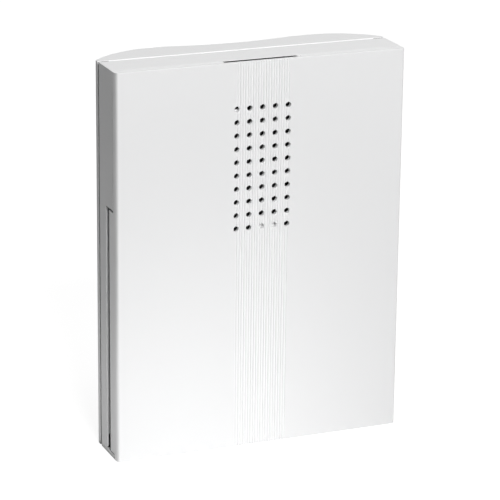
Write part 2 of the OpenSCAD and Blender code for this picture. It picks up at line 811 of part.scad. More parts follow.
module terminal_block() {
    z0 = terminal_z - terminal_h / 2;
    z1 = terminal_z + terminal_h / 2;
    y0 = terminal_seat_y - terminal_d;
    color("gainsboro") difference() {
        union() {
            slab([-terminal_w / 2, y0, z0], [terminal_w / 2, terminal_seat_y, z1]);
            slab([-ear_x - ear_w / 2, terminal_seat_y - ear_t, z0 + 2],
                 [ear_x + ear_w / 2, terminal_seat_y, z1 - 2]);
        }
        for (s = [-1, 1]) {
            slab([way_x(s) - clamp_w / 2 - seat_gap, clamp_y0 - clamp_d - seat_gap, z0 + 1.5],
                 [way_x(s) + clamp_w / 2 + seat_gap, clamp_y0, z1 - 1.5]);
            translate([way_x(s), wire_y, z0 - cut]) cylinder(r = wire_hole_r, h = terminal_h + 2 * cut);
            rod_y(2.3, y0 - cut, clamp_y0 - 1, way_x(s), terminal_z);
            rod_y(screw_r + through_gap / 2, terminal_seat_y - ear_t - cut, terminal_seat_y + cut,
                  s * ear_x, terminal_z);
        }
        slab([-0.6, y0 - cut, z0 - cut], [0.6, y0 + 3, z1 + cut]);
    }
}

module terminal_clamps() {
    color("goldenrod") for (s = [-1, 1]) difference() {
        slab([way_x(s) - clamp_w / 2, clamp_y0 - clamp_d, terminal_z - terminal_h / 2 + 1.6],
             [way_x(s) + clamp_w / 2, clamp_y0, terminal_z + terminal_h / 2 - 1.6]);
        translate([way_x(s), wire_y, terminal_z - terminal_h]) cylinder(r = wire_hole_r, h = 2 * terminal_h);
        rod_y(screw_r + pilot_gap, clamp_y0 - clamp_d - cut, wire_y, way_x(s), terminal_z);
    }
}

module terminal_screws() {
    slot_w = 0.7;
    y_under_head = clamp_y0 - clamp_d - 1;
    color("silver") for (s = [-1, 1]) difference() {
        union() {
            rod_y(screw_r, y_under_head, wire_y - 0.5, way_x(s), terminal_z);
            rod_y(2.1, y_under_head - 1.6, y_under_head, way_x(s), terminal_z);
        }
        slab([way_x(s) - 3, y_under_head - 2, terminal_z - slot_w / 2],
             [way_x(s) + 3, y_under_head - 0.8, terminal_z + slot_w / 2]);
    }
}

module terminal_block_screws() {
    color("silver") for (s = [-1, 1])
        pan_screw(s * ear_x, terminal_z, terminal_seat_y - ear_t, ear_t + 3.1);
}

module solder_lugs() {
    color("goldenrod") for (s = [-1, 1])
        slab([s * lug_x - 1.5, axis_y - 0.3, ledge_z - lug_l],
             [s * lug_x + 1.5, axis_y + 0.3, ledge_z]);
}

// One lead: from the end of a lug, in an easy curve, down into the top of its terminal
module coil_lead(s) {
    z_lug = ledge_z - lug_l + 1;
    y_lug = axis_y - 0.3 - lead_r;
    z_top = terminal_z + terminal_h / 2;
    steps = 20;
    start = [s * lug_x, y_lug, z_lug];
    finish = [way_x(s), wire_y, z_top + lead_drop];
    curve = [for (i = [0 : steps]) let (t = i / steps, e = t * t * (3 - 2 * t))
        [start[0] + (finish[0] - start[0]) * e,
         start[1] + (finish[1] - start[1]) * e,
         start[2] + (finish[2] - start[2]) * t]];
    tail = [[way_x(s), wire_y, z_top], [way_x(s), wire_y, z_top - 4]];
    color("firebrick") swept_bar(concat([start + [0, 0, 2]], curve, tail), lead_r, lead_sides);
}

module coil_lead_left() { coil_lead(-1); }
module coil_lead_right() { coil_lead(1); }

// Rubber grommet that seats in the base's floor, in the cable channel
module cable_grommet() {
    lip_t = 1.2;
    y_out = -channel_d;
    y_in = y_out - floor_t;
    color("dimgray") difference() {
        union() {
            rod_y(cable_r + cable_wall - seat_gap, y_in - lip_t, y_out + lip_t, 0, cable_z);
            rod_y(cable_r + 2 * cable_wall, y_in - lip_t, y_in - seat_gap, 0, cable_z);
            rod_y(cable_r + 2 * cable_wall, y_out + 0.25, y_out + lip_t, 0, cable_z);
        }
        rod_y(cable_r, y_in - 2 * lip_t, y_out + 2 * lip_t, 0, cable_z);
    }
}

base_shell();
cover_frame();
front_panel();
frame_screws();
tone_plate_left();
tone_plate_right();
hanger_pins();
tone_grommets();
pin_clips();
solenoid_yoke();
coil_bobbin();
coil_winding();
guide_tube();
yoke_screws();
plunger_core();
striker_rod_left();
striker_rod_right();
striker_tip_left();
striker_tip_right();
spring_collar();
return_spring();
terminal_block();
terminal_clamps();
terminal_screws();
terminal_block_screws();
solder_lugs();
coil_lead_left();
coil_lead_right();
cable_grommet();
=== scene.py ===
"""Looks of a wall-mounted two-note door chime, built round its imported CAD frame.

The case is three white mouldings: a bowed base, a frame and a ribbed front panel. Behind the
panel hang two tone plates, with a sprung solenoid striker between them and a terminal block
below. Every piece is in metres, in the frame of the CAD: +Z is up, the front faces -Y, and the
wall is the plane Y = 0. Each new piece takes its place and its outer sizes from the CAD solid
that it stands for.
"""

from __future__ import annotations

import logging
import math
from dataclasses import dataclass
from enum import Enum
from typing import Any, Callable, Sequence

import bmesh
import bpy
import numpy as np
from mathutils import Matrix, Vector

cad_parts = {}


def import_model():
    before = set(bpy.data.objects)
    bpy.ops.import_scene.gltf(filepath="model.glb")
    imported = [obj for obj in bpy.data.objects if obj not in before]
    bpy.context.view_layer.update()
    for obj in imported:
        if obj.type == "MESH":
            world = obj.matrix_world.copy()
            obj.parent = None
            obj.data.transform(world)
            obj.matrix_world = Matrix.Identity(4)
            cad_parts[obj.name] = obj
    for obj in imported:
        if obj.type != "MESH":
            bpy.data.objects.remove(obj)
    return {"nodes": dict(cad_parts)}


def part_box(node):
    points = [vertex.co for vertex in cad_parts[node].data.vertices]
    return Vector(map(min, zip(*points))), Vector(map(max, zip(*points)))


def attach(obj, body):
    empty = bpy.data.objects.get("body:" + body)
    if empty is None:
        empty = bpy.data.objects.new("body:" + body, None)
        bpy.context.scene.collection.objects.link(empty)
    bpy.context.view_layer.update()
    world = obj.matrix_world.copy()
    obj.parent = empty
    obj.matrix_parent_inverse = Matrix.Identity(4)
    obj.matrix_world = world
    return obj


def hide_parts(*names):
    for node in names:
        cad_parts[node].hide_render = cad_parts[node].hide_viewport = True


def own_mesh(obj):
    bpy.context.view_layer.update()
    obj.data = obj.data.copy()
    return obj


LOG = logging.getLogger("chime")
MM = 0.001
FULL_TURN = 2.0 * math.pi
SAME_POINT = 2e-7
SAME_CAD_POINT = 2e-6


class Body(Enum):
    """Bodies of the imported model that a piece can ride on."""

    CASE = "case"
    PLUNGER = "plunger"
    PANEL = "panel"


class Slot(Enum):
    """Material slots of the record."""

    CASE = "case_plastic"
    FRAME = "frame_plastic"
    PANEL = "panel_plastic"
    SCREW = "zinc_screw"
    TONE = "tone_steel"
    PIN = "pin_steel"
    RUBBER = "grommet_rubber"
    SPRING = "spring_steel"
    YOKE = "yoke_steel"
    BOBBIN = "bobbin_nylon"
    COPPER = "enamelled_copper"
    BRASS = "brass"
    CORE = "core_steel"
    NYLON = "striker_nylon"
    TERMINAL = "terminal_plastic"
    TINNED = "tinned_brass"
    LEAD = "lead_insulation"


class Axis(Enum):
    """Direction that a turned piece lies along, as the column of its coordinate."""

    X = 0
    Y = 1
    Z = 2


# Wiring of shader nodes


class Wiring:
    """Adds nodes to one node tree and joins their sockets."""

    def __init__(self, tree: bpy.types.NodeTree) -> None:
        """Starts with the tree that the nodes go into."""
        self.tree = tree

    def add(self, kind: str, inputs: dict[Any, Any] | None = None, **settings: Any) -> bpy.types.Node:
        """Adds a node.

        Args:
            kind: The node's type, without its ShaderNode prefix.
            inputs: Sockets by name or index, each with a plain value or an output to join.
            settings: Properties of the node.

        Returns:
            The new node.
        """
        node = self.tree.nodes.new("ShaderNode" + kind)
        for key, value in settings.items():
            setattr(node, key, value)
        for key, value in (inputs or {}).items():
            self.feed(node.inputs[key], value)
        return node

    def feed(self, socket: bpy.types.NodeSocket, value: Any) -> None:
        """Joins an output to a socket, or sets the socket to a plain value.

        Args:
            socket: The socket to feed.
            value: An output of a node, or a plain value.
        """
        if isinstance(value, bpy.types.NodeSocket):
            self.tree.links.new(value, socket)
        else:
            socket.default_value = value

    def sums(self, operation: str, a: Any, b: Any = 0.0, clamp: bool = False) -> bpy.types.NodeSocket:
        """Returns the output of a Math node that works on a and b."""
        return self.add("Math", {0: a, 1: b}, operation=operation, use_clamp=clamp).outputs[0]

    def scaled(self, value: Any, factor: Any) -> bpy.types.NodeSocket:
        """Returns value times factor."""
        return self.sums("MULTIPLY", value, factor)

    def ramp(
        self, value: Any, low: float, high: float, to_low: float = 0.0, to_high: float = 1.0
    ) -> bpy.types.NodeSocket:
        """Returns value carried smoothly from the range low..high to the range to_low..to_high.

        Args:
            value: The number to carry.
            low: Start of its own range.
            high: End of its own range.
            to_low: What the start becomes.
            to_high: What the end becomes.

        Returns:
            The carried number.
        """
        return self.add(
            "MapRange",
            {"Value": value, "From Min": low, "From Max": high, "To Min": to_low, "To Max": to_high},
            interpolation_type="SMOOTHSTEP",
        ).outputs["Result"]

    def mix(self, share: Any, a: Any, b: Any) -> bpy.types.NodeSocket:
        """Returns the colour that lies between a and b by share.

        Args:
            share: Share of b, from 0 to 1.
            a: The colour at 0.
            b: The colour at 1.

        Returns:
            The mixed colour.
        """
        node = self.add("Mix", data_type="RGBA")
        colours = [s for s in node.inputs if s.type == "RGBA"]
        self.feed(node.inputs[0], share)
        for socket, value in zip(colours, (a, b)):
            self.feed(socket, value)
        return next(s for s in node.outputs if s.type == "RGBA")

    def noise(self, place: Any, scale: Any, detail: float = 2.0, rough: float = 0.5) -> bpy.types.NodeSocket:
        """Returns a noise value from 0 to 1, with scale in blobs to the metre.

        Args:
            place: The coordinates.
            scale: Blobs to the metre.
            detail: How many finer layers are added.
            rough: Share of each finer layer.

        Returns:
            The noise.
        """
        return self.add(
            "TexNoise", {"Vector": place, "Scale": scale, "Detail": detail, "Roughness": rough}
        ).outputs[0]

    def seen_rays(self) -> bpy.types.NodeSocket:
        """Returns 1 for the rays that show a backdrop: the camera's, and those in gloss and glass.

        Returns:
            1 or 0, as a number.
        """
        light = self.add("LightPath").outputs
        mirrored = self.sums("MAXIMUM", light["Is Glossy Ray"], light["Is Transmission Ray"])
        return self.sums("MAXIMUM", light["Is Camera Ray"], mirrored)


class Socket(Enum):
    """Kinds of socket that a shared group uses."""

    NUMBER = "NodeSocketFloat"
    PLACE = "NodeSocketVector"


# Blobs of noise to the metre, and what the shared effects fade over

RIPPLE_BLOBS = 42.0
CLOUD_BLOBS = 14.0
SPECK_BLOBS = 900.0
FILM_BLOBS = 60.0
SPOTS_TO_CLOUD = 9.0
COARSE_LINES = 0.22
WALL_FADE = 0.3 * MM
SEAT_FADE = 0.2 * MM


class SharedEffect:
    """A shader node group that several finishes use."""

    def __init__(self, name: str, inputs: dict[str, Socket], outputs: Sequence[str]) -> None:
        """Makes the group's interface.

        Args:
            name: Name of the group.
            inputs: Names and kinds of its inputs.
            outputs: Names of its outputs, which are all numbers.
        """
        self.tree = bpy.data.node_groups.new(name, "ShaderNodeTree")
        for label, kind in inputs.items():
            self.tree.interface.new_socket(label, in_out="INPUT", socket_type=kind.value)
        for label in outputs:
            self.tree.interface.new_socket(label, in_out="OUTPUT", socket_type=Socket.NUMBER.value)
        self.wiring = Wiring(self.tree)
        self.inside = self.tree.nodes.new("NodeGroupInput").outputs
        self.outside = self.tree.nodes.new("NodeGroupOutput").inputs

    def put(self, name: str, value: bpy.types.NodeSocket) -> None:
        """Joins a value to one of the group's outputs."""
        self.tree.links.new(value, self.outside[name])


def moulded_grain() -> bpy.types.NodeTree:
    """Builds a moulding's surface: fine spark-eroded grain, and the slow ripple of its cooling.

    Returns:
        The node group.
    """
    inputs = {
        "Place": Socket.PLACE,
        "Grain Scale": Socket.NUMBER,
        "Grain Depth": Socket.NUMBER,
        "Ripple Depth": Socket.NUMBER,
    }
    effect = SharedEffect("MouldedGrain", inputs, ["Height", "Shade"])
    w, given = effect.wiring, effect.inside
    grain = w.noise(given["Place"], given["Grain Scale"], 3.0, 0.62)
    ripple = w.noise(given["Place"], RIPPLE_BLOBS, 1.0, 0.4)
    cloud = w.noise(given["Place"], CLOUD_BLOBS, 2.0, 0.5)
    fine, slow = w.scaled(grain, given["Grain Depth"]), w.scaled(ripple, given["Ripple Depth"])
    effect.put("Height", w.sums("ADD", fine, slow))
    effect.put("Shade", w.sums("ADD", w.scaled(cloud, 0.6), w.scaled(grain, 0.4)))
    return effect.tree


def edge_wear_and_highlight() -> bpy.types.NodeTree:
    """Builds a mask of edges, for wear where hands rub and for painted highlights, broken up by noise as far
    as they aren't even.

    The mask is how far the true normal turns away from the normal of the same surface with its
    edges rounded by a radius.

    Returns:
        The node group.
    """
    inputs = {
        "Place": Socket.PLACE,
        "Radius": Socket.NUMBER,
        "Breaks": Socket.NUMBER,
        "Evenness": Socket.NUMBER,
    }
    effect = SharedEffect("EdgeWearAndHighlight", inputs, ["Mask"])
    w, given = effect.wiring, effect.inside
    rounded = w.add("Bevel", {"Radius": given["Radius"]}, samples=4).outputs[0]
    flat = w.add("NewGeometry").outputs["Normal"]
    turned = w.add("VectorMath", {0: rounded, 1: flat}, operation="DOT_PRODUCT").outputs["Value"]
    edge = w.ramp(w.sums("SUBTRACT", 1.0, turned), 0.015, 0.2)
    broken = w.ramp(w.noise(given["Place"], given["Breaks"], 4.0, 0.65), 0.38, 0.62)
    effect.put("Mask", w.sums("MULTIPLY", edge, w.sums("MAXIMUM", broken, given["Evenness"]), clamp=True))
    return effect.tree


def painted_seam_shade() -> bpy.types.NodeTree:
    """Builds a mask of painted shade in the seams of the case's sides.

    It is the share of the sky that a point misses within a reach, far out to the left and right.

    Returns:
        The node group.
    """
    inputs = {"Place": Socket.PLACE, "Reach": Socket.NUMBER, "Side": Socket.NUMBER}
    effect = SharedEffect("PaintedSeamShade", inputs, ["Mask"])
    w, given = effect.wiring, effect.inside
    open_share = w.add("AmbientOcclusion", {"Distance": given["Reach"]}, samples=6).outputs["AO"]
    out = w.sums("ABSOLUTE", w.add("SeparateXYZ", {0: given["Place"]}).outputs["X"])
    beside = w.ramp(w.sums("SUBTRACT", out, given["Side"]), 0.0, WALL_FADE)
    effect.put("Mask", w.scaled(w.ramp(open_share, 0.85, 0.4), beside))
    return effect.tree


def painted_inside_shade() -> bpy.types.NodeTree:
    """Builds a mask of painted shade on the shut inside that the sound holes show.

    It is the share of the sky that a point misses within a reach, within the outer walls (Inner holds
    their distances along X and Z) and behind the panel's seat, on faces that don't look to the back.

    Returns:
        The node group.
    """
    inputs = {"Place": Socket.PLACE, "Reach": Socket.NUMBER, "Inner": Socket.PLACE, "Seat": Socket.NUMBER}
    effect = SharedEffect("PaintedInsideShade", inputs, ["Mask"])
    w, given = effect.wiring, effect.inside
    open_share = w.add("AmbientOcclusion", {"Distance": given["Reach"]}, samples=6).outputs["AO"]
    out = w.add("VectorMath", {0: given["Place"]}, operation="ABSOLUTE").outputs[0]
    room = w.add("VectorMath", {0: given["Inner"], 1: out}, operation="SUBTRACT").outputs[0]
    parts = w.add("SeparateXYZ", {0: room}).outputs
    depth = w.add("SeparateXYZ", {0: given["Place"]}).outputs["Y"]
    within = w.scaled(w.ramp(parts["X"], 0.0, WALL_FADE), w.ramp(parts["Z"], 0.0, WALL_FADE))
    behind = w.ramp(w.sums("SUBTRACT", depth, given["Seat"]), 0.0, SEAT_FADE)
    normal = w.add("NewGeometry").outputs["Normal"]
    forward = w.ramp(w.add("SeparateXYZ", {0: normal}).outputs["Y"], 0.1, 0.0)
    place = w.scaled(w.scaled(within, behind), forward)
    effect.put("Mask", w.scaled(w.ramp(open_share, 0.5, 0.2), place))
    return effect.tree


def settled_dust() -> bpy.types.NodeTree:
    """Builds a mask of fine dust on faces that look up: the normal's rise times a cloud of specks.

    Returns:
        The node group.
    """
    effect = SharedEffect("SettledDust", {"Place": Socket.PLACE, "Amount": Socket.NUMBER}, ["Mask"])
    w, given = effect.wiring, effect.inside
    normal = w.add("NewGeometry").outputs["Normal"]
    rise = w.ramp(w.add("SeparateXYZ", {0: normal}).outputs["Z"], 0.35, 1.0)
    specks = w.ramp(w.noise(given["Place"], SPECK_BLOBS, 3.0, 0.7), 0.5, 0.75)
    film = w.noise(given["Place"], FILM_BLOBS, 2.0, 0.5)
    cloud = w.sums("ADD", w.scaled(specks, 0.5), w.scaled(film, 0.5))
    effect.put("Mask", w.sums("MULTIPLY", w.scaled(rise, cloud), given["Amount"], clamp=True))
    return effect.tree


def drawn_lines() -> bpy.types.NodeTree:
    """Builds the lines of rolled, drawn or turned metal: noise that is stretched by a vector.

    Returns:
        The node group.
    """
    inputs = {"Place": Socket.PLACE, "Stretch": Socket.PLACE, "Depth": Socket.NUMBER}
    effect = SharedEffect("DrawnLines", inputs, ["Height", "Shade"])
    w, given = effect.wiring, effect.inside
    parts = {0: given["Place"], 1: given["Stretch"]}
    stretched = w.add("VectorMath", parts, operation="MULTIPLY").outputs[0]
    fine = w.noise(stretched, 1.0, 4.0, 0.7)
    coarse = w.noise(stretched, COARSE_LINES, 2.0, 0.5)
    effect.put("Height", w.scaled(fine, given["Depth"]))
    effect.put("Shade", w.sums("ADD", w.scaled(fine, 0.55), w.scaled(coarse, 0.45)))
    return effect.tree


def tarnish() -> bpy.types.NodeTree:
    """Builds a mask of stains on metal: broad clouds times small spots, both cut off softly.

    Returns:
        The node group.
    """
    inputs = {"Place": Socket.PLACE, "Scale": Socket.NUMBER, "Amount": Socket.NUMBER}
    effect = SharedEffect("Tarnish", inputs, ["Mask"])
    w, given = effect.wiring, effect.inside
    clouds = w.ramp(w.noise(given["Place"], given["Scale"], 4.0, 0.6), 0.42, 0.7)
    spots = w.ramp(w.noise(given["Place"], w.scaled(given["Scale"], SPOTS_TO_CLOUD), 2.0, 0.6), 0.5, 0.72)
    both = w.sums("ADD", w.scaled(clouds, 0.7), w.scaled(w.scaled(clouds, spots), 0.6))
    effect.put("Mask", w.sums("MULTIPLY", both, given["Amount"], clamp=True))
    return effect.tree


class Effects:
    """The shared node groups, built once."""

    def __init__(self) -> None:
        """Builds each group."""
        self.grain = moulded_grain()
        # The edge mask serves wear and painted highlights; the next two place painted shade.
        self.wear_and_highlight = edge_wear_and_highlight()
        self.seam_shade = painted_seam_shade()
        self.inside = painted_inside_shade()
        self.dust = settled_dust()
        self.lines = drawn_lines()
        self.tarnish = tarnish()


# Finishes

Colour = tuple[float, float, float]
# The dust colour, darkened, is also the painted shade in the side seams and on the shut inside.
DUST_AND_SHADE_COLOUR = (0.55, 0.53, 0.5, 1.0)
CASE_SIDE = 70.6 * MM
CASE_INNER = (75.4 * MM, 0.0, 98.4 * MM)
PANEL_SEAT = -39.3 * MM
SEAM_REACH = 4.5 * MM
SHUT_REACH = 100.0 * MM
# Tones of the painted shade in the side seams and on the shut inside.
SEAM_SHADE_TONE = 0.12
INSIDE_SHADE_TONE = 0.05
PLASTIC_IOR = 1.49
GLOW_REACH = 0.002
DUST_ROUGHENS = 0.4


def shade(colour: Sequence[float], factor: float) -> tuple[float, float, float, float]:
    """Returns a colour made lighter or darker by a factor, with full alpha."""
    return (*[min(1.0, c * factor) for c in colour[:3]], 1.0)


class Dressing:
    """A material under way: its Principled shader and the wiring round it."""

    def __init__(self, slot: Slot, effects: Effects) -> None:
        """Makes a material with a Principled shader and Object coordinates.

        Args:
            slot: The record's material slot, which names the material.
            effects: The shared effects.
        """
        self.material = bpy.data.materials.new(slot.value)
        self.material.use_nodes = True
        self.wiring = Wiring(self.material.node_tree)
        self.shader = self.material.node_tree.nodes["Principled BSDF"]
        self.effects = effects
        self.place = self.wiring.add("TexCoord").outputs["Object"]

    def effect(self, tree: bpy.types.NodeTree, **inputs: Any) -> dict[str, bpy.types.NodeSocket]:
        """Places a shared effect.

        Args:
            tree: The effect's node group.
            inputs: Values of its inputs, with _ for a space in a name.

        Returns:
            The effect's outputs by name.
        """
        node = self.wiring.add("Group", node_tree=tree)
        self.wiring.feed(node.inputs["Place"], self.place)
        for key, value in inputs.items():
            self.wiring.feed(node.inputs[key.replace("_", " ")], value)
        return {o.name: o for o in node.outputs}

    def plain(self, **values: Any) -> None:
        """Sets sockets of the shader that are the same all over, with _ for a space in a name."""
        for key, value in values.items():
            self.shader.inputs[key.replace("_", " ")].default_value = value

    def paint(self, colour: bpy.types.NodeSocket, rough: bpy.types.NodeSocket) -> None:
        """Feeds the shader's colour and roughness."""
        self.wiring.feed(self.shader.inputs["Base Color"], colour)
        self.wiring.feed(self.shader.inputs["Roughness"], rough)

    def relief(self, height: bpy.types.NodeSocket) -> None:
        """Feeds a height in metres to the shader's normal through a Bump node."""
        bump = self.wiring.add("Bump", {"Height": height, "Distance": 1.0, "Strength": 1.0})
        self.wiring.feed(self.shader.inputs["Normal"], bump.outputs["Normal"])


@dataclass(frozen=True)
class Plastic:
    """A moulded plastic or rubber.

    Attributes:
        slot: The record's material slot.
        colour: Colour of the moulding.
        rough: Roughness of its clean face.
        grain: Size of the grain, in metres.
        grain_depth: Height of the grain, in metres.
        ripple_depth: Height of the cooling ripple, in metres.
        mottle: Share by which the colour goes up and down.
        wear_and_highlight: How much paler and glossier an edge is, from 0 to 1: wear, and on the white
            mouldings a painted highlight.
        dust: Amount of dust on faces that look up.
        glow: Light that passes through the plastic, from 0 to 1.
        worn_and_highlighted: Factor of the colour on an edge: wear, and on the white mouldings a painted
            highlight.
        evenness: How unbroken the paler edges are, from 0 to 1.
        seam_shade: Darkness of the painted shade in the side seams, from 0 to 1.
        inside_shade: Darkness of the painted shade on the shut inside, from 0 to 1.
    """

    slot: Slot
    colour: Colour
    rough: float
    grain: float
    grain_depth: float
    ripple_depth: float = 0.0
    mottle: float = 0.012
    wear_and_highlight: float = 0.3
    dust: float = 0.05
    glow: float = 0.0
    worn_and_highlighted: float = 1.06
    evenness: float = 0.0
    seam_shade: float = 0.0
    inside_shade: float = 0.0

    def dress(self, effects: Effects) -> bpy.types.Material:
        """Builds the material: grain in colour, gloss and relief, edges paler from wear and painted
        highlight, painted shade in the side seams and the shut inside where set, and a film of dust.

        Args:
            effects: The shared effects.

        Returns:
            The material.
        """
        d = Dressing(self.slot, effects)
        w = d.wiring
        grain = d.effect(
            effects.grain,
            Grain_Scale=1.0 / self.grain,
            Grain_Depth=self.grain_depth,
            Ripple_Depth=self.ripple_depth,
        )
        # Paler edges: wear, and on the white mouldings a painted highlight.
        wear_and_highlight = d.effect(effects.wear_and_highlight, Radius=0.35 * MM, Breaks=260.0, Evenness=self.evenness)["Mask"]
        dust = d.effect(effects.dust, Amount=self.dust)["Mask"]
        pale, deep = shade(self.colour, 1.0 + self.mottle), shade(self.colour, 1.0 - self.mottle)
        body, edge = w.mix(grain["Shade"], deep, pale), shade(self.colour, self.worn_and_highlighted)
        worn_and_highlighted = w.mix(w.scaled(wear_and_highlight, self.wear_and_highlight), body, edge)
        # Painted shade in the seams of the case's sides.
        if self.seam_shade:
            seams = d.effect(effects.seam_shade, Reach=SEAM_REACH, Side=CASE_SIDE)["Mask"]
            worn_and_highlighted = w.mix(w.scaled(seams, self.seam_shade), worn_and_highlighted, shade(DUST_AND_SHADE_COLOUR, SEAM_SHADE_TONE))
        # Painted shade on the shut inside that the sound holes show.
        if self.inside_shade:
            shut = d.effect(effects.inside, Reach=SHUT_REACH, Inner=CASE_INNER, Seat=PANEL_SEAT)["Mask"]
            worn_and_highlighted = w.mix(w.scaled(shut, self.inside_shade), worn_and_highlighted, shade(DUST_AND_SHADE_COLOUR, INSIDE_SHADE_TONE))
        rough = w.sums("ADD", w.scaled(grain["Shade"], 0.08), self.rough - 0.04)
        rough = w.sums("SUBTRACT", rough, w.scaled(wear_and_highlight, 0.12 * self.wear_and_highlight))
        rough = w.sums("ADD", rough, w.scaled(dust, DUST_ROUGHENS), clamp=True)
        d.paint(w.mix(dust, worn_and_highlighted, DUST_AND_SHADE_COLOUR), rough)
        d.plain(IOR=PLASTIC_IOR, Subsurface_Weight=self.glow, Subsurface_Scale=GLOW_REACH)
        d.relief(grain["Height"])
        return d.material


@dataclass(frozen=True)
class Metal:
    """A drawn, rolled or turned metal.

    Attributes:
        slot: The record's material slot.
        colour: Colour of the clean metal.
        stain: Colour of its tarnish.
        rough: Roughness of the clean metal.
        stretch: Lines to the metre along X, Y and Z: low along the lines, high across them.
        depth: Height of the lines, in metres.
        stains: Amount of tarnish, from 0 to 1.
        wear_and_highlight: How much a worn edge shines, from 0 to 1.
        dust: Amount of dust on faces that look up.
    """

    slot: Slot
    colour: Colour
    stain: Colour
    rough: float
    stretch: tuple[float, float, float]
    depth: float = 1.5e-6
    stains: float = 0.25
    wear_and_highlight: float = 0.7
    dust: float = 0.04

    def dress(self, effects: Effects) -> bpy.types.Material:
        """Builds the material: lines in colour, gloss and relief, tarnish, bright edges and dust.

        Args:
            effects: The shared effects.

        Returns:
            The material.
        """
        d = Dressing(self.slot, effects)
        w = d.wiring
        lines = d.effect(effects.lines, Stretch=self.stretch, Depth=self.depth)
        wear_and_highlight = d.effect(effects.wear_and_highlight, Radius=0.2 * MM, Breaks=700.0, Evenness=0.0)["Mask"]
        stain = d.effect(effects.tarnish, Scale=55.0, Amount=self.stains)["Mask"]
        dust = d.effect(effects.dust, Amount=self.dust)["Mask"]
        body = w.mix(lines["Shade"], shade(self.colour, 0.9), shade(self.colour, 1.08))
        stained = w.mix(stain, body, shade(self.stain, 1.0))
        bright = w.mix(w.scaled(wear_and_highlight, self.wear_and_highlight), stained, shade(self.colour, 1.22))
        rough = w.sums("ADD", w.scaled(lines["Shade"], 0.16), self.rough - 0.08)
        rough = w.sums("ADD", rough, w.scaled(stain, 0.22))
        rough = w.sums("ADD", rough, w.scaled(dust, DUST_ROUGHENS))
        rough = w.sums("SUBTRACT", rough, w.scaled(wear_and_highlight, 0.1), clamp=True)
        d.paint(w.mix(dust, bright, DUST_AND_SHADE_COLOUR), rough)
        d.plain(Metallic=1.0)
        d.relief(lines["Height"])
        return d.material


@dataclass(frozen=True)
class EnamelledWire:
    """Copper wire under a thin coat of clear enamel, darker where the turns meet.

    Attributes:
        slot: The record's material slot.
        colour: Colour of the enamelled copper.
        burnt: Colour of the enamel where it is thick or has run hot.
        rough: Roughness of the copper.
    """

    slot: Slot
    colour: Colour
    burnt: Colour
    rough: float = 0.34

    def dress(self, effects: Effects) -> bpy.types.Material:
        """Builds the material: cloudy enamel over bright metal, with fine lines along each turn.

        Args:
            effects: The shared effects.

        Returns:
            The material.
        """
        d = Dressing(self.slot, effects)
        w = d.wiring
        lines = d.effect(effects.lines, Stretch=(5200.0, 240.0, 240.0), Depth=1.0e-6)
        stain = d.effect(effects.tarnish, Scale=120.0, Amount=0.55)["Mask"]
        dust = d.effect(effects.dust, Amount=0.1)["Mask"]
        body = w.mix(lines["Shade"], shade(self.colour, 0.8), shade(self.colour, 1.15))
        rough = w.sums("ADD", w.scaled(stain, 0.15), self.rough, clamp=True)
        d.paint(w.mix(dust, w.mix(stain, body, shade(self.burnt, 1.0)), DUST_AND_SHADE_COLOUR), rough)
        d.plain(Metallic=0.85, Coat_Weight=0.6, Coat_Roughness=0.12)
        d.relief(lines["Height"])
        return d.material


ACROSS_X = (90.0, 7000.0, 7000.0)
ROUND_X = (9000.0, 70.0, 70.0)
ALONG_Z = (6000.0, 6000.0, 60.0)
EVEN = (2400.0, 2400.0, 2400.0)
ZINC = (0.62, 0.63, 0.62)
STEEL = (0.58, 0.585, 0.59)
BRASS = (0.75, 0.56, 0.26)

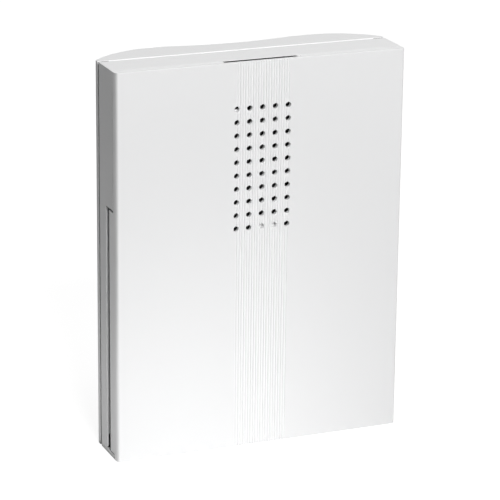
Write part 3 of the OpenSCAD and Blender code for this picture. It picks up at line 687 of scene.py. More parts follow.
FINISHES: tuple[Plastic | Metal | EnamelledWire, ...] = (
    # The white mouldings carry painted highlights along their edges; case and frame also carry painted shade
    # in their side seams and shut inside.
    Plastic(
        Slot.CASE, (0.855, 0.857, 0.86), 0.5, 0.45 * MM, 5e-6, 2e-5,
        worn_and_highlighted=1.12, seam_shade=0.9, inside_shade=0.9,
    ),
    Plastic(
        Slot.FRAME, (0.865, 0.867, 0.87), 0.46, 0.45 * MM, 4e-6, 2e-5,
        worn_and_highlighted=1.12, seam_shade=0.9, inside_shade=0.9,
    ),
    Plastic(
        Slot.PANEL, (0.85, 0.852, 0.855), 0.34, 0.7 * MM, 1.2e-6, 1.5e-5,
        wear_and_highlight=1.0, worn_and_highlighted=1.15, evenness=0.85,
    ),
    Plastic(
        Slot.RUBBER, (0.035, 0.034, 0.034), 0.68, 0.3 * MM, 8e-6, 0.0,
        mottle=0.15, wear_and_highlight=0.5, dust=0.3,
    ),
    Plastic(
        Slot.BOBBIN, (0.74, 0.68, 0.54), 0.42, 0.6 * MM, 3e-6, 1e-5,
        mottle=0.03, wear_and_highlight=0.3, dust=0.1, glow=0.25,
    ),
    Plastic(
        Slot.NYLON, (0.83, 0.82, 0.77), 0.36, 0.7 * MM, 2e-6, 1e-5,
        mottle=0.02, wear_and_highlight=0.3, dust=0.05, glow=0.3,
    ),
    Plastic(
        Slot.TERMINAL, (0.66, 0.655, 0.63), 0.48, 0.4 * MM, 7e-6, 1e-5,
        mottle=0.03, wear_and_highlight=0.4, dust=0.12, glow=0.1,
    ),
    Plastic(
        Slot.LEAD, (0.46, 0.03, 0.025), 0.42, 0.9 * MM, 4e-6, 1e-5,
        mottle=0.08, wear_and_highlight=0.2, dust=0.1, glow=0.05,
    ),
    Metal(Slot.SCREW, ZINC, (0.4, 0.42, 0.46), 0.36, EVEN, stains=0.35),
    Metal(Slot.TONE, STEEL, (0.4, 0.38, 0.35), 0.34, ALONG_Z, 1.6e-6, stains=0.22, wear_and_highlight=0.8, dust=0.1),
    Metal(Slot.PIN, STEEL, (0.38, 0.36, 0.34), 0.28, ACROSS_X),
    Metal(Slot.SPRING, (0.5, 0.5, 0.52), (0.26, 0.22, 0.2), 0.26, EVEN, 0.8e-6),
    Metal(Slot.YOKE, ZINC, (0.5, 0.44, 0.3), 0.4, ACROSS_X, 1.2e-6, stains=0.45),
    Metal(Slot.BRASS, BRASS, (0.34, 0.22, 0.1), 0.3, ACROSS_X, 1.2e-6, stains=0.3),
    Metal(Slot.CORE, (0.44, 0.44, 0.45), (0.2, 0.18, 0.17), 0.3, ROUND_X, 2.0e-6, stains=0.3),
    Metal(Slot.TINNED, (0.66, 0.65, 0.62), (0.4, 0.38, 0.36), 0.38, EVEN, 2.5e-6, stains=0.4),
    EnamelledWire(Slot.COPPER, (0.6, 0.22, 0.09), (0.25, 0.07, 0.03)),
)


class Wardrobe:
    """The materials of the whole chime, one to a slot."""

    def __init__(self) -> None:
        """Builds the shared effects, and each finish's material with them."""
        effects = Effects()
        self.materials = {finish.slot: finish.dress(effects) for finish in FINISHES}

    def place(self, piece: bpy.types.Object, body: Body, slot: Slot, node: str) -> None:
        """Dresses a piece, lets it ride on its body and hides the CAD node that it stands for.

        Args:
            piece: The new piece.
            body: The body that carries it.
            slot: The material slot of its finish.
            node: The CAD node.
        """
        piece.data.materials.clear()
        piece.data.materials.append(self.materials[slot])
        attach(piece, body.value)
        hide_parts(node)
        LOG.info("%s: %d faces, %s", piece.name, len(piece.data.polygons), slot.value)


# Places, taken from the CAD frame


@dataclass(frozen=True)
class Box:
    """Lowest and highest corners of a CAD solid, in metres."""

    low: np.ndarray
    high: np.ndarray

    @property
    def middle(self) -> np.ndarray:
        """The box's centre."""
        return (self.low + self.high) / 2.0

    @property
    def size(self) -> np.ndarray:
        """The box's three sides."""
        return self.high - self.low


def node_box(node: str) -> Box:
    """Returns the box of a whole CAD node."""
    low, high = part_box(node)
    return Box(np.array(low), np.array(high))


def merged_copy(node: str) -> bmesh.types.BMesh:
    """Returns a copy of a CAD node's mesh with its loose triangles merged.

    Args:
        node: Name of the CAD node.

    Returns:
        The copy, which the caller frees.
    """
    work = bmesh.new()
    work.from_mesh(CAD_NODES[node].data)
    bmesh.ops.remove_doubles(work, verts=work.verts, dist=SAME_CAD_POINT)
    return work


def solid_boxes(node: str) -> list[Box]:
    """Returns the box of each separate solid of a CAD node, from left to right.

    Args:
        node: Name of the CAD node.

    Returns:
        The boxes.
    """
    work = merged_copy(node)
    left = set(work.verts)
    boxes = []
    while left:
        solid, edge = set(), {left.pop()}
        while edge:
            solid |= edge
            edge = {e.other_vert(v) for v in edge for e in v.link_edges} - solid
        left -= solid
        points = np.array([v.co for v in solid])
        boxes.append(Box(points.min(axis=0), points.max(axis=0)))
    work.free()
    return sorted(boxes, key=lambda b: (round(float(b.middle[0]), 5), round(float(b.middle[2]), 5)))


CAD_NODES: dict[str, bpy.types.Object] = {}


# Surfaces


def smooth_step(value: np.ndarray) -> np.ndarray:
    """Returns 0 below 0, 1 above 1, and 3 t^2 - 2 t^3 between them."""
    t = np.clip(value, 0.0, 1.0)
    return t * t * (3.0 - 2.0 * t)


def eased(
    corners: Sequence[tuple[float, float]], reach: float, closed: bool = True, steps: int = 5
) -> np.ndarray:
    """Rounds the corners of a profile.

    Each corner c gives way to the curve (1 - t)^2 a + 2 t (1 - t) c + t^2 b, where a and b lie on
    its two sides, at the given reach from it or near the side's middle.

    Args:
        corners: The profile's corners, as distance along the axis and radius.
        reach: How far along its sides a corner is rounded, in metres.
        closed: Whether the last corner joins the first. If not, both stay sharp.
        steps: Points to a corner.

    Returns:
        The rounded profile, two columns wide.
    """
    c = np.asarray(corners, float)

    def towards(other: np.ndarray) -> np.ndarray:
        """Steps from each corner towards a neighbour, by the reach or to near the side's middle.

        Args:
            other: The neighbour of each corner.

        Returns:
            The point beside each corner on that side.
        """
        arm = other - c
        length = np.linalg.norm(arm, axis=1, keepdims=True)
        return c + arm * np.minimum(reach / length, 0.48)

    a, b = towards(np.roll(c, 1, axis=0)), towards(np.roll(c, -1, axis=0))
    t = np.linspace(0.0, 1.0, steps)[None, :, None]
    curve = (1.0 - t) ** 2 * a[:, None] + 2.0 * t * (1.0 - t) * c[:, None] + t**2 * b[:, None]
    if not closed:
        curve[0], curve[-1] = c[0], c[-1]
    return curve.reshape(-1, 2)


def around(axis: Axis, centre: np.ndarray, along: np.ndarray, radius: np.ndarray, columns: int) -> np.ndarray:
    """Carries a profile round an axis: centre + along * axis + radius * (cos a * u + sin a * v).

    Args:
        axis: The axis.
        centre: A point of the axis, from which along counts.
        along: Distance along the axis, one to a row, or one to a row and column.
        radius: Distance from the axis, in the same form.
        columns: Steps round the axis.

    Returns:
        Points by row and column.
    """
    unit = np.eye(3)
    u, v = unit[(axis.value + 1) % 3], unit[(axis.value + 2) % 3]
    angle = turn_angles(columns)
    along, radius = (p[:, None] if p.ndim == 1 else p for p in (along, radius))
    along, radius = np.broadcast_arrays(along, radius * np.ones(columns))
    ring = np.cos(angle)[:, None] * u + np.sin(angle)[:, None] * v
    return centre + along[..., None] * unit[axis.value] + radius[..., None] * ring


def turn_angles(columns: int) -> np.ndarray:
    """Returns evenly spaced angles of one turn."""
    return np.arange(columns) * FULL_TURN / columns


def tube(path: np.ndarray, radius: np.ndarray, side: np.ndarray, columns: int) -> np.ndarray:
    """Carries a circle along a path, and closes both ends.

    At each point the circle is path + radius * (cos a * n + sin a * b), where n is side made
    square to the path, and b is square to both.

    Args:
        path: Points of the path.
        radius: Radius at each point.
        side: One direction that the path never takes, or one to a point.
        columns: Steps round the path.

    Returns:
        Points by row and column, with both end rows drawn in to a point.
    """
    run = np.gradient(path, axis=0)
    run /= np.linalg.norm(run, axis=1, keepdims=True)
    n = side - (side * run).sum(axis=1, keepdims=True) * run
    n /= np.linalg.norm(n, axis=1, keepdims=True)
    b = np.cross(run, n)
    angle = turn_angles(columns)
    ring = np.cos(angle)[None, :, None] * n[:, None] + np.sin(angle)[None, :, None] * b[:, None]
    grid = path[:, None] + radius[:, None, None] * ring
    ends = [np.repeat(path[k][None, None], columns, axis=1) for k in (0, -1)]
    return np.concatenate([ends[0], grid, ends[1]])


class Surface:
    """Grids of points on their way to one mesh."""

    def __init__(self) -> None:
        """Starts with no points."""
        self.points: list[np.ndarray] = []
        self.faces: list[np.ndarray] = []
        self.count = 0

    def add(self, grid: np.ndarray, ring: bool = False) -> None:
        """Adds a grid whose columns run round.

        Args:
            grid: Points by row and column.
            ring: Whether the last row joins the first, as on a tube with a bore.
        """
        rows, columns = grid.shape[:2]
        i, j = np.meshgrid(np.arange(rows if ring else rows - 1), np.arange(columns), indexing="ij")
        down, over = (i + 1) % rows, (j + 1) % columns
        quads = np.stack([i * columns + j, i * columns + over, down * columns + over, down * columns + j], -1)
        self.faces.append(quads.reshape(-1, 4) + self.count)
        self.points.append(grid.reshape(-1, 3))
        self.count += rows * columns

    def piece(self, name: str) -> bpy.types.Object:
        """Builds the mesh: joins points that meet, turns every face outwards and shades it smooth.

        Args:
            name: Name of the new object.

        Returns:
            The new object, at the origin.
        """
        mesh = bpy.data.meshes.new(name)
        mesh.from_pydata(np.concatenate(self.points).tolist(), [], np.concatenate(self.faces).tolist())
        work = bmesh.new()
        work.from_mesh(mesh)
        bmesh.ops.remove_doubles(work, verts=work.verts, dist=SAME_POINT)
        bmesh.ops.recalc_face_normals(work, faces=work.faces)
        work.to_mesh(mesh)
        work.free()
        mesh.polygons.foreach_set("use_smooth", np.ones(len(mesh.polygons), bool))
        piece = bpy.data.objects.new(name, mesh)
        bpy.context.scene.collection.objects.link(piece)
        return piece


def even_normals(piece: bpy.types.Object) -> None:
    """Lets broad faces keep their own normals, so that only the rounded edges turn the light."""
    piece.modifiers.new("normals", "WEIGHTED_NORMAL").keep_sharp = False


@dataclass(frozen=True)
class Rim:
    """The outline of a moulding at one depth, which is rounded more than its other edges.

    Attributes:
        depth: The outline's Y.
        width: Width of its rounding.
    """

    depth: float
    width: float

    def holds(self, edge: bmesh.types.BMEdge, box: Box) -> bool:
        """Returns whether an edge runs along the outline: at its depth, near the box's sides.

        Args:
            edge: The edge.
            box: Box of the moulding.

        Returns:
            Whether it does.
        """
        a, b = (v.co for v in edge.verts)
        near = 1.6 * MM
        level = max(abs(a.y - self.depth), abs(b.y - self.depth)) < 0.05 * MM
        beside = min(abs(a.x), abs(b.x)) > box.high[0] - near
        return level and (beside or min(abs(a.z), abs(b.z)) > box.high[2] - near)


def room_beside(edge: bmesh.types.BMEdge, fold: float) -> float:
    """Returns how wide an edge's rounding may be: near half of the shortest edge that meets it.

    An edge that only carries on the same line, to within the fold, doesn't count.

    Args:
        edge: The edge.
        fold: Smallest fold that counts as an edge, in radians.

    Returns:
        The widest rounding, in metres.
    """
    line = (edge.verts[1].co - edge.verts[0].co).normalized()
    others = [other for v in edge.verts for other in v.link_edges if other is not edge]
    turned = [
        other.calc_length()
        for other in others
        if abs((other.verts[1].co - other.verts[0].co).normalized().dot(line)) < math.cos(fold)
    ]
    return 0.45 * min(turned, default=edge.calc_length())


def soft_copy(
    node: str,
    width: float,
    segments: int = 2,
    fold: float = 32.0,
    rim: Rim | None = None,
    shaping: Callable[[np.ndarray], np.ndarray] | None = None,
) -> bpy.types.Object:
    """Copies a CAD node's mesh, merges its loose triangles and rounds its edges.

    Args:
        node: Name of the CAD node.
        width: Width of the rounding, in metres, where there is room for it.
        segments: Steps of the rounding.
        fold: Smallest fold that counts as an edge, in degrees.
        rim: An outline that is rounded more.
        shaping: A function from the copy's points to where they go before the rounding.

    Returns:
        The new object.
    """
    work = merged_copy(node)
    if shaping:
        for v, place in zip(work.verts, shaping(np.array([v.co for v in work.verts]))):
            v.co = place
    flat, sharp = math.radians(0.3), math.radians(fold)
    bmesh.ops.dissolve_limit(work, angle_limit=flat, verts=work.verts, edges=work.edges)
    widest = max(width, rim.width) if rim else width
    box = node_box(node)
    weight = work.edges.layers.float.new("bevel_weight_edge")
    for edge in work.edges:
        if len(edge.link_faces) == 2 and edge.calc_face_angle() > sharp:
            wanted = rim.width if rim and rim.holds(edge, box) else width
            edge[weight] = min(wanted, room_beside(edge, sharp)) / widest
    mesh = bpy.data.meshes.new(node + "_look")
    work.to_mesh(mesh)
    work.free()
    mesh.polygons.foreach_set("use_smooth", np.ones(len(mesh.polygons), bool))
    piece = bpy.data.objects.new(node + "_look", mesh)
    bpy.context.scene.collection.objects.link(piece)
    bevel = piece.modifiers.new("edges", "BEVEL")
    bevel.width, bevel.segments = widest, segments
    bevel.limit_method, bevel.use_clamp_overlap = "WEIGHT", False
    even_normals(piece)
    return piece


# Sub-assemblies


@dataclass
class Housing:
    """The three white mouldings.

    Attributes:
        shell_edge: Rounding of the base's and the frame's edges.
        panel_edge: Rounding of the front panel's edges, small enough for its fine grooves.
        parting: Y of the base's front outline.
        parting_edge: Rounding of that outline, which shows as a bright line from above.
        front_edge: Rounding of the front panel's outline.
        crown_depth: Depth of the panel's sides that curve in towards its face.
        crown_power: How late they curve in: 2 is close to an arc.
    """

    shell_edge: float = 0.3 * MM
    panel_edge: float = 0.12 * MM
    parting: float = -18.0 * MM
    parting_edge: float = 0.45 * MM
    front_edge: float = 0.75 * MM
    crown_depth: float = 4.5 * MM
    crown_power: float = 3.6

    def crown(self, points: np.ndarray) -> np.ndarray:
        """Makes the panel's sides turn in later, and so more softly into its face.

        The inset becomes its value at the face times u^crown_power, where u goes from 0 at the
        crown's rear to 1 at the face. Both outlines stay where they are.

        Args:
            points: Points of the panel's mesh, three columns wide.

        Returns:
            The moved points.
        """
        box = node_box("front_panel")
        u = np.clip(1.0 - (points[:, 1] - box.low[1]) / self.crown_depth, 0.0, 1.0)
        side = box.high[0]
        outer = np.abs(points[:, 0]) > side - 1.2 * MM
        at_face = outer & (u > 0.999)
        inset = side - np.abs(points[at_face, 0]).max()
        x = np.sign(points[:, 0]) * (side - inset * u**self.crown_power)
        on_arc = outer & (u > 0.0) & (np.abs(points[:, 0]) > np.abs(x) - 0.5 * MM) & ~at_face
        shaped = points.copy()
        shaped[on_arc, 0] = x[on_arc]
        return shaped

    def build(self, wardrobe: Wardrobe) -> None:
        """Builds and dresses the base, the frame and the front panel.

        Args:
            wardrobe: The chime's materials.
        """
        base = soft_copy("base_shell", self.shell_edge, rim=Rim(self.parting, self.parting_edge))
        wardrobe.place(base, Body.CASE, Slot.CASE, "base_shell")
        wardrobe.place(soft_copy("cover_frame", self.shell_edge), Body.CASE, Slot.FRAME, "cover_frame")
        face = float(node_box("front_panel").low[1])
        rim = Rim(face, self.front_edge)
        panel = soft_copy("front_panel", self.panel_edge, 3, rim=rim, shaping=self.crown)
        wardrobe.place(panel, Body.PANEL, Slot.PANEL, "front_panel")


class Drive(Enum):
    """Recess of a screw's head."""

    CROSS = "cross"
    SLOT = "slot"


@dataclass(frozen=True)
class Screw:
    """A round-headed screw along Y, with its head towards the front.

    Attributes:
        node: The CAD node of this kind of screw.
        drive: Recess of the head.
        head_height: Height of the head.
        shank: Outer radius of the thread.
        pitch: Distance between turns of the thread.
        dome: How far the head's edge lies below its top.
        recess_width: Width of the recess.
        recess_length: Length of a cross's arms from tip to tip.
        recess_depth: Depth of the recess.
        columns: Steps round the screw.
    """

    node: str
    drive: Drive = Drive.CROSS
    head_height: float = 2.0 * MM
    shank: float = 1.38 * MM
    pitch: float = 1.1 * MM
    dome: float = 0.55 * MM
    recess_width: float = 0.8 * MM
    recess_length: float = 3.2 * MM
    recess_depth: float = 1.1 * MM
    columns: int = 96

    def recess(self, radius: np.ndarray) -> np.ndarray:
        """Returns how deep the recess is at each row and column.

        The depth falls off over a narrow band round |v| = width / 2 for a slot. For a cross it
        does so round the nearer of two such bars that cross, cut off at half their length.

        Args:
            radius: Distance from the axis at each row of the head.

        Returns:
            Depth below the head's top, by row and column.
        """
        angle = turn_angles(self.columns)
        u, v = radius[:, None] * np.cos(angle), radius[:, None] * np.sin(angle)
        half_width, half_length = self.recess_width / 2.0, self.recess_length / 2.0
        if self.drive is Drive.SLOT:
            outside = np.abs(v) - half_width
        else:
            one = np.maximum(np.abs(u) - half_length, np.abs(v) - half_width)
            other = np.maximum(np.abs(v) - half_length, np.abs(u) - half_width)
            outside = np.minimum(one, other)
        return self.recess_depth * smooth_step(0.5 - outside / (0.14 * MM))

    def head(self, radius: float) -> tuple[np.ndarray, np.ndarray]:
        """Returns the head's rows: a shallow dome, a quarter turn of its edge, and its underside.

        Args:
            radius: Radius of the head.

        Returns:
            Distance along the axis and radius, row by row.
        """
        top = radius * np.linspace(0.0, 0.85, 26)
        turn = np.linspace(0.1, 1.0, 7) * FULL_TURN / 4.0
        brow = self.dome * (top / radius) ** 2
        edge_drop = 0.45 * self.head_height
        rim = radius * (0.85 + 0.15 * np.sin(turn))
        rim_along = brow[-1] + (edge_drop - brow[-1]) * (1.0 - np.cos(turn))
        under = np.array([radius, radius - 0.1 * MM, self.shank])
        under_along = np.array([self.head_height - 0.1 * MM, self.head_height, self.head_height])
        return np.concatenate([brow, rim_along, under_along]), np.concatenate([top, rim, under])

    def shape(self, box: Box) -> np.ndarray:
        """Builds one screw: the head with its recess, a thread r = shank - depth * ridge, and a point.

        Args:
            box: Box of the CAD screw.

        Returns:
            Points by row and column.
        """
        along, radius = self.head(box.size[0] / 2.0)
        head = np.minimum(np.maximum(along[:, None], self.recess(radius)), self.head_height)
        length, point = box.size[1], 1.2 * MM
        rows = int((length - point - self.head_height) / self.pitch * 7)
        thread_along = np.linspace(self.head_height, length - point, rows)
        turn = thread_along[:, None] / self.pitch - turn_angles(self.columns) / FULL_TURN
        ridge = np.abs(2.0 * (turn % 1.0) - 1.0) ** 1.6
        grown = smooth_step((thread_along - self.head_height) / (0.8 * MM))[:, None]
        thread = self.shank * (1.0 - 0.24 * (1.0 - ridge) * grown)
        tip_along = np.array([length - 0.7 * point, length - 0.1 * point, length])
        tip = self.shank * np.array([0.7, 0.22, 0.0])
        flat = np.ones(self.columns)
        all_along = np.concatenate([head, thread_along[:, None] * flat, tip_along[:, None] * flat])
        all_radius = np.concatenate([radius[:, None] * flat, thread, tip[:, None] * flat])
        foot = np.array([box.middle[0], box.low[1], box.middle[2]])
        return around(Axis.Y, foot, all_along, all_radius, self.columns)

    def build(self, wardrobe: Wardrobe) -> None:
        """Builds and dresses every screw of this kind as one piece.

        Args:
            wardrobe: The chime's materials.
        """
        surface = Surface()
        for box in solid_boxes(self.node):
            surface.add(self.shape(box))
        wardrobe.place(surface.piece(self.node + "_look"), Body.CASE, Slot.SCREW, self.node)


@dataclass(frozen=True)
class Turned:
    """A piece turned about X from a rounded profile.

    Attributes:
        node: The CAD node it stands for.
        body: Body that it rides on.
        slot: Its material slot.
        bore: Radius of its bore, or 0 where it is solid.
        edge: Rounding of its edges.
        columns: Steps round it.
    """

    node: str
    body: Body
    slot: Slot
    bore: float = 0.0
    edge: float = 0.25 * MM
    columns: int = 72

    def corners(self, length: float, radius: float) -> list[tuple[float, float]]:
        """Returns the profile's corners: a plain bar, or a plain tube where there is a bore."""
        return [(0.0, self.bore), (0.0, radius), (length, radius), (length, self.bore)]

    def build(self, wardrobe: Wardrobe) -> None:
        """Builds and dresses one turned shape for each solid of the node.

        Args:
            wardrobe: The chime's materials.
        """
        surface = Surface()
        for box in solid_boxes(self.node):
            radius = max(box.size[1], box.size[2]) / 2.0
            profile = eased(self.corners(box.size[0], radius), self.edge, closed=self.bore > 0.0)
            end = np.array([box.low[0], box.middle[1], box.middle[2]])
            grid = around(Axis.X, end, profile[:, 0], profile[:, 1], self.columns)
            surface.add(grid, ring=self.bore > 0.0)
        piece = surface.piece(self.node + "_look")
        even_normals(piece)
        wardrobe.place(piece, self.body, self.slot, self.node)


@dataclass(frozen=True)
class Pin(Turned):
    """A hanger pin, with the ring groove near each end that a push-on clip bites into.

    Attributes:
        groove: Depth of the groove.
        groove_near: Where the groove starts, from the pin's end.
        groove_far: Where it stops.
    """

    groove: float = 0.12 * MM
    groove_near: float = 1.1 * MM
    groove_far: float = 1.7 * MM

    def corners(self, length: float, radius: float) -> list[tuple[float, float]]:
        """Returns a bar with a shallow groove near each end.

        Args:
            length: Length of the pin.
            radius: Its radius.

        Returns:
            The profile's corners.
        """
        near, far, low = self.groove_near, self.groove_far, radius - self.groove
        half = [(0.0, 0.0), (0.0, radius), (near, radius), (near, low), (far, low), (far, radius)]
        return half + [(length - a, r) for a, r in reversed(half)]


@dataclass(frozen=True)
class Grommet(Turned):
    """A rubber ring with a collar on each side of what it seats in.

    Attributes:
        collar: Thickness of a collar.
        neck: Radius between the collars.
    """

    collar: float = 2.0 * MM
    neck: float = 3.95 * MM

    def corners(self, length: float, radius: float) -> list[tuple[float, float]]:
        """Returns the two collars and the neck, round the bore.

        Args:
            length: Length of the grommet.
            radius: Radius of its collars.

        Returns:
            The profile's corners.
        """
        half = [(0.0, self.bore), (0.0, radius), (self.collar, radius), (self.collar, self.neck)]
        return half + [(length - a, r) for a, r in reversed(half)]


@dataclass(frozen=True)
class Core(Turned):
    """The plunger's steel core, with a socket in each end and a chamfered oil groove.

    Attributes:
        socket: Radius of a socket.
        socket_depth: Depth of a socket.
    """

    socket: float = 1.625 * MM
    socket_depth: float = 4.0 * MM

    def corners(self, length: float, radius: float) -> list[tuple[float, float]]:
        """Returns half the core, from the foot of a socket to the groove, and its mirror image.

        Args:
            length: Length of the core.
            radius: Its radius.

        Returns:
            The profile's corners.
        """
        groove = length - 2.6 * MM
        half = [
            (self.socket_depth, 0.0),
            (self.socket_depth, self.socket),
            (0.0, self.socket),
            (0.0, radius - 0.3 * MM),
            (0.3 * MM, radius),
        ]
        ring = [(groove, radius), (groove + 0.3 * MM, radius - 0.25 * MM), (groove + 0.6 * MM, radius)]
        return half + ring + [(length - a, r) for a, r in reversed(half)]


@dataclass
class TonePlates:
    """The two tone plates and what they hang on.

    Attributes:
        edge: Rounding of a plate's edges.
        pin: Radius of a hanger pin.
        tongue: How far a clip's slots reach out from the pin.
        dish: How far a clip is dished.
        tongues: Number of slots in a clip.
        columns: Steps round a clip.
    """

    edge: float = 0.3 * MM
    pin: float = 1.5 * MM
    tongue: float = 0.95 * MM
    dish: float = 0.35 * MM
    tongues: int = 6
    columns: int = 192

    def clip(self, box: Box) -> np.ndarray:
        """Builds a push-on clip: a dished ring whose bore is cut by slots into gripping tongues.

        The inner radius is the pin's plus tongue * slot, where slot is 1 within a slot's width of
        its angle. The face leans by dish * (1 - share), where share runs from the bore to the rim.

        Args:
            box: Box of the CAD clip.

        Returns:
            Points by row and column.
        """
        outer, thick = box.size[2] / 2.0, box.size[0]
        angle = turn_angles(self.columns)
        spread = FULL_TURN / self.tongues
        off = np.abs((angle + spread / 2.0) % spread - spread / 2.0)
        inner = self.pin + 0.02 * MM + self.tongue * smooth_step((0.17 - off) / 0.05)
        half = [[1.0, 0.1], [0.97, 0.0], [0.5, 0.0], [0.0, 0.0]]
        rows = np.array(half + [[share, 1.0 - through] for share, through in reversed(half)])
        share, through = rows[:, :1], rows[:, 1:]
        radius = inner + share * (outer - inner)
        sheet = 0.42 * MM
        lean = (1.0 - share) * self.dish
        along = lean + through * sheet
        outwards = math.copysign(1.0, box.middle[0])
        base = np.array([box.middle[0] - outwards * thick / 2.0, box.middle[1], box.middle[2]])
        return around(Axis.X, base, outwards * (thick - along - 0.02 * MM), radius, self.columns)

    def build(self, wardrobe: Wardrobe) -> None:
        """Builds and dresses the plates, their pins, grommets and clips.

        Args:
            wardrobe: The chime's materials.
        """
        for node in ("tone_plate_left", "tone_plate_right"):
            wardrobe.place(soft_copy(node, self.edge, 3), Body.CASE, Slot.TONE, node)
        Pin("hanger_pins", Body.CASE, Slot.PIN, columns=48).build(wardrobe)
        Grommet("tone_grommets", Body.CASE, Slot.RUBBER, self.pin + 0.05 * MM, 0.5 * MM).build(wardrobe)
        clips = Surface()
        for box in solid_boxes("pin_clips"):
            clips.add(self.clip(box), ring=True)
        wardrobe.place(clips.piece("pin_clips_look"), Body.CASE, Slot.SPRING, "pin_clips")


@dataclass
class Coil:
    """The solenoid: yoke, bobbin, winding and guide tube.

    Attributes:
        pitch: Distance between turns of the winding.
        groove: Depth of the groove between two turns.
        bore: Radius of the winding's bore.
        last_layer: Share of the length that the last layer covers.
        tube_bore: Radius of the guide tube's bore.
        columns: Steps round the winding.
        rows_per_turn: Steps along one turn's width.
    """

    pitch: float = 0.62 * MM
    groove: float = 0.17 * MM
    bore: float = 5.8 * MM
    last_layer: float = 0.78
    tube_bore: float = 4.08 * MM
    columns: int = 84
    rows_per_turn: int = 7

    def winding(self) -> np.ndarray:
        """Builds the wound wire as one skin.

        The radius is R - groove * (1 - |cos(pi * (x / pitch - turn))|), so each turn is a ridge
        that climbs along the helix. R drops by one wire where the last layer ends, and sways a
        little, as hand-guided wire does.

        Returns:
            Points by row and column.
        """
        box = node_box("coil_winding")
        length, outer = box.size[0], box.size[1] / 2.0
        rows = int(length / self.pitch) * self.rows_per_turn
        x = np.linspace(0.0, length, rows)[:, None]
        turn = turn_angles(self.columns) / FULL_TURN
        ridge = np.abs(np.cos(math.pi * (x / self.pitch - turn)))
        step = 0.85 * self.pitch * smooth_step((x / length - self.last_layer) * length / self.pitch - turn)
        sway = 0.03 * MM * (1.0 + np.sin(x * 620.0 + 0.7) * np.sin(x * 237.0))
        outside = outer - self.groove * (1.0 - ridge) - step - sway
        inside = np.full((2, self.columns), self.bore)
        radius = np.concatenate([outside, inside])
        along = np.concatenate([x, [[length], [0.0]]])
        end = np.array([box.low[0], box.middle[1], box.middle[2]])
        return around(Axis.X, end, along * np.ones(self.columns), radius, self.columns)

    def build(self, wardrobe: Wardrobe) -> None:
        """Builds and dresses the coil's four pieces and its two screws.

        Args:
            wardrobe: The chime's materials.
        """
        wardrobe.place(soft_copy("solenoid_yoke", 0.3 * MM, 3), Body.CASE, Slot.YOKE, "solenoid_yoke")
        wardrobe.place(soft_copy("coil_bobbin", 0.2 * MM), Body.CASE, Slot.BOBBIN, "coil_bobbin")
        wound = Surface()
        wound.add(self.winding(), ring=True)
        wardrobe.place(wound.piece("coil_winding_look"), Body.CASE, Slot.COPPER, "coil_winding")
        Turned("guide_tube", Body.CASE, Slot.BRASS, self.tube_bore, 0.2 * MM).build(wardrobe)
        Screw("yoke_screws").build(wardrobe)


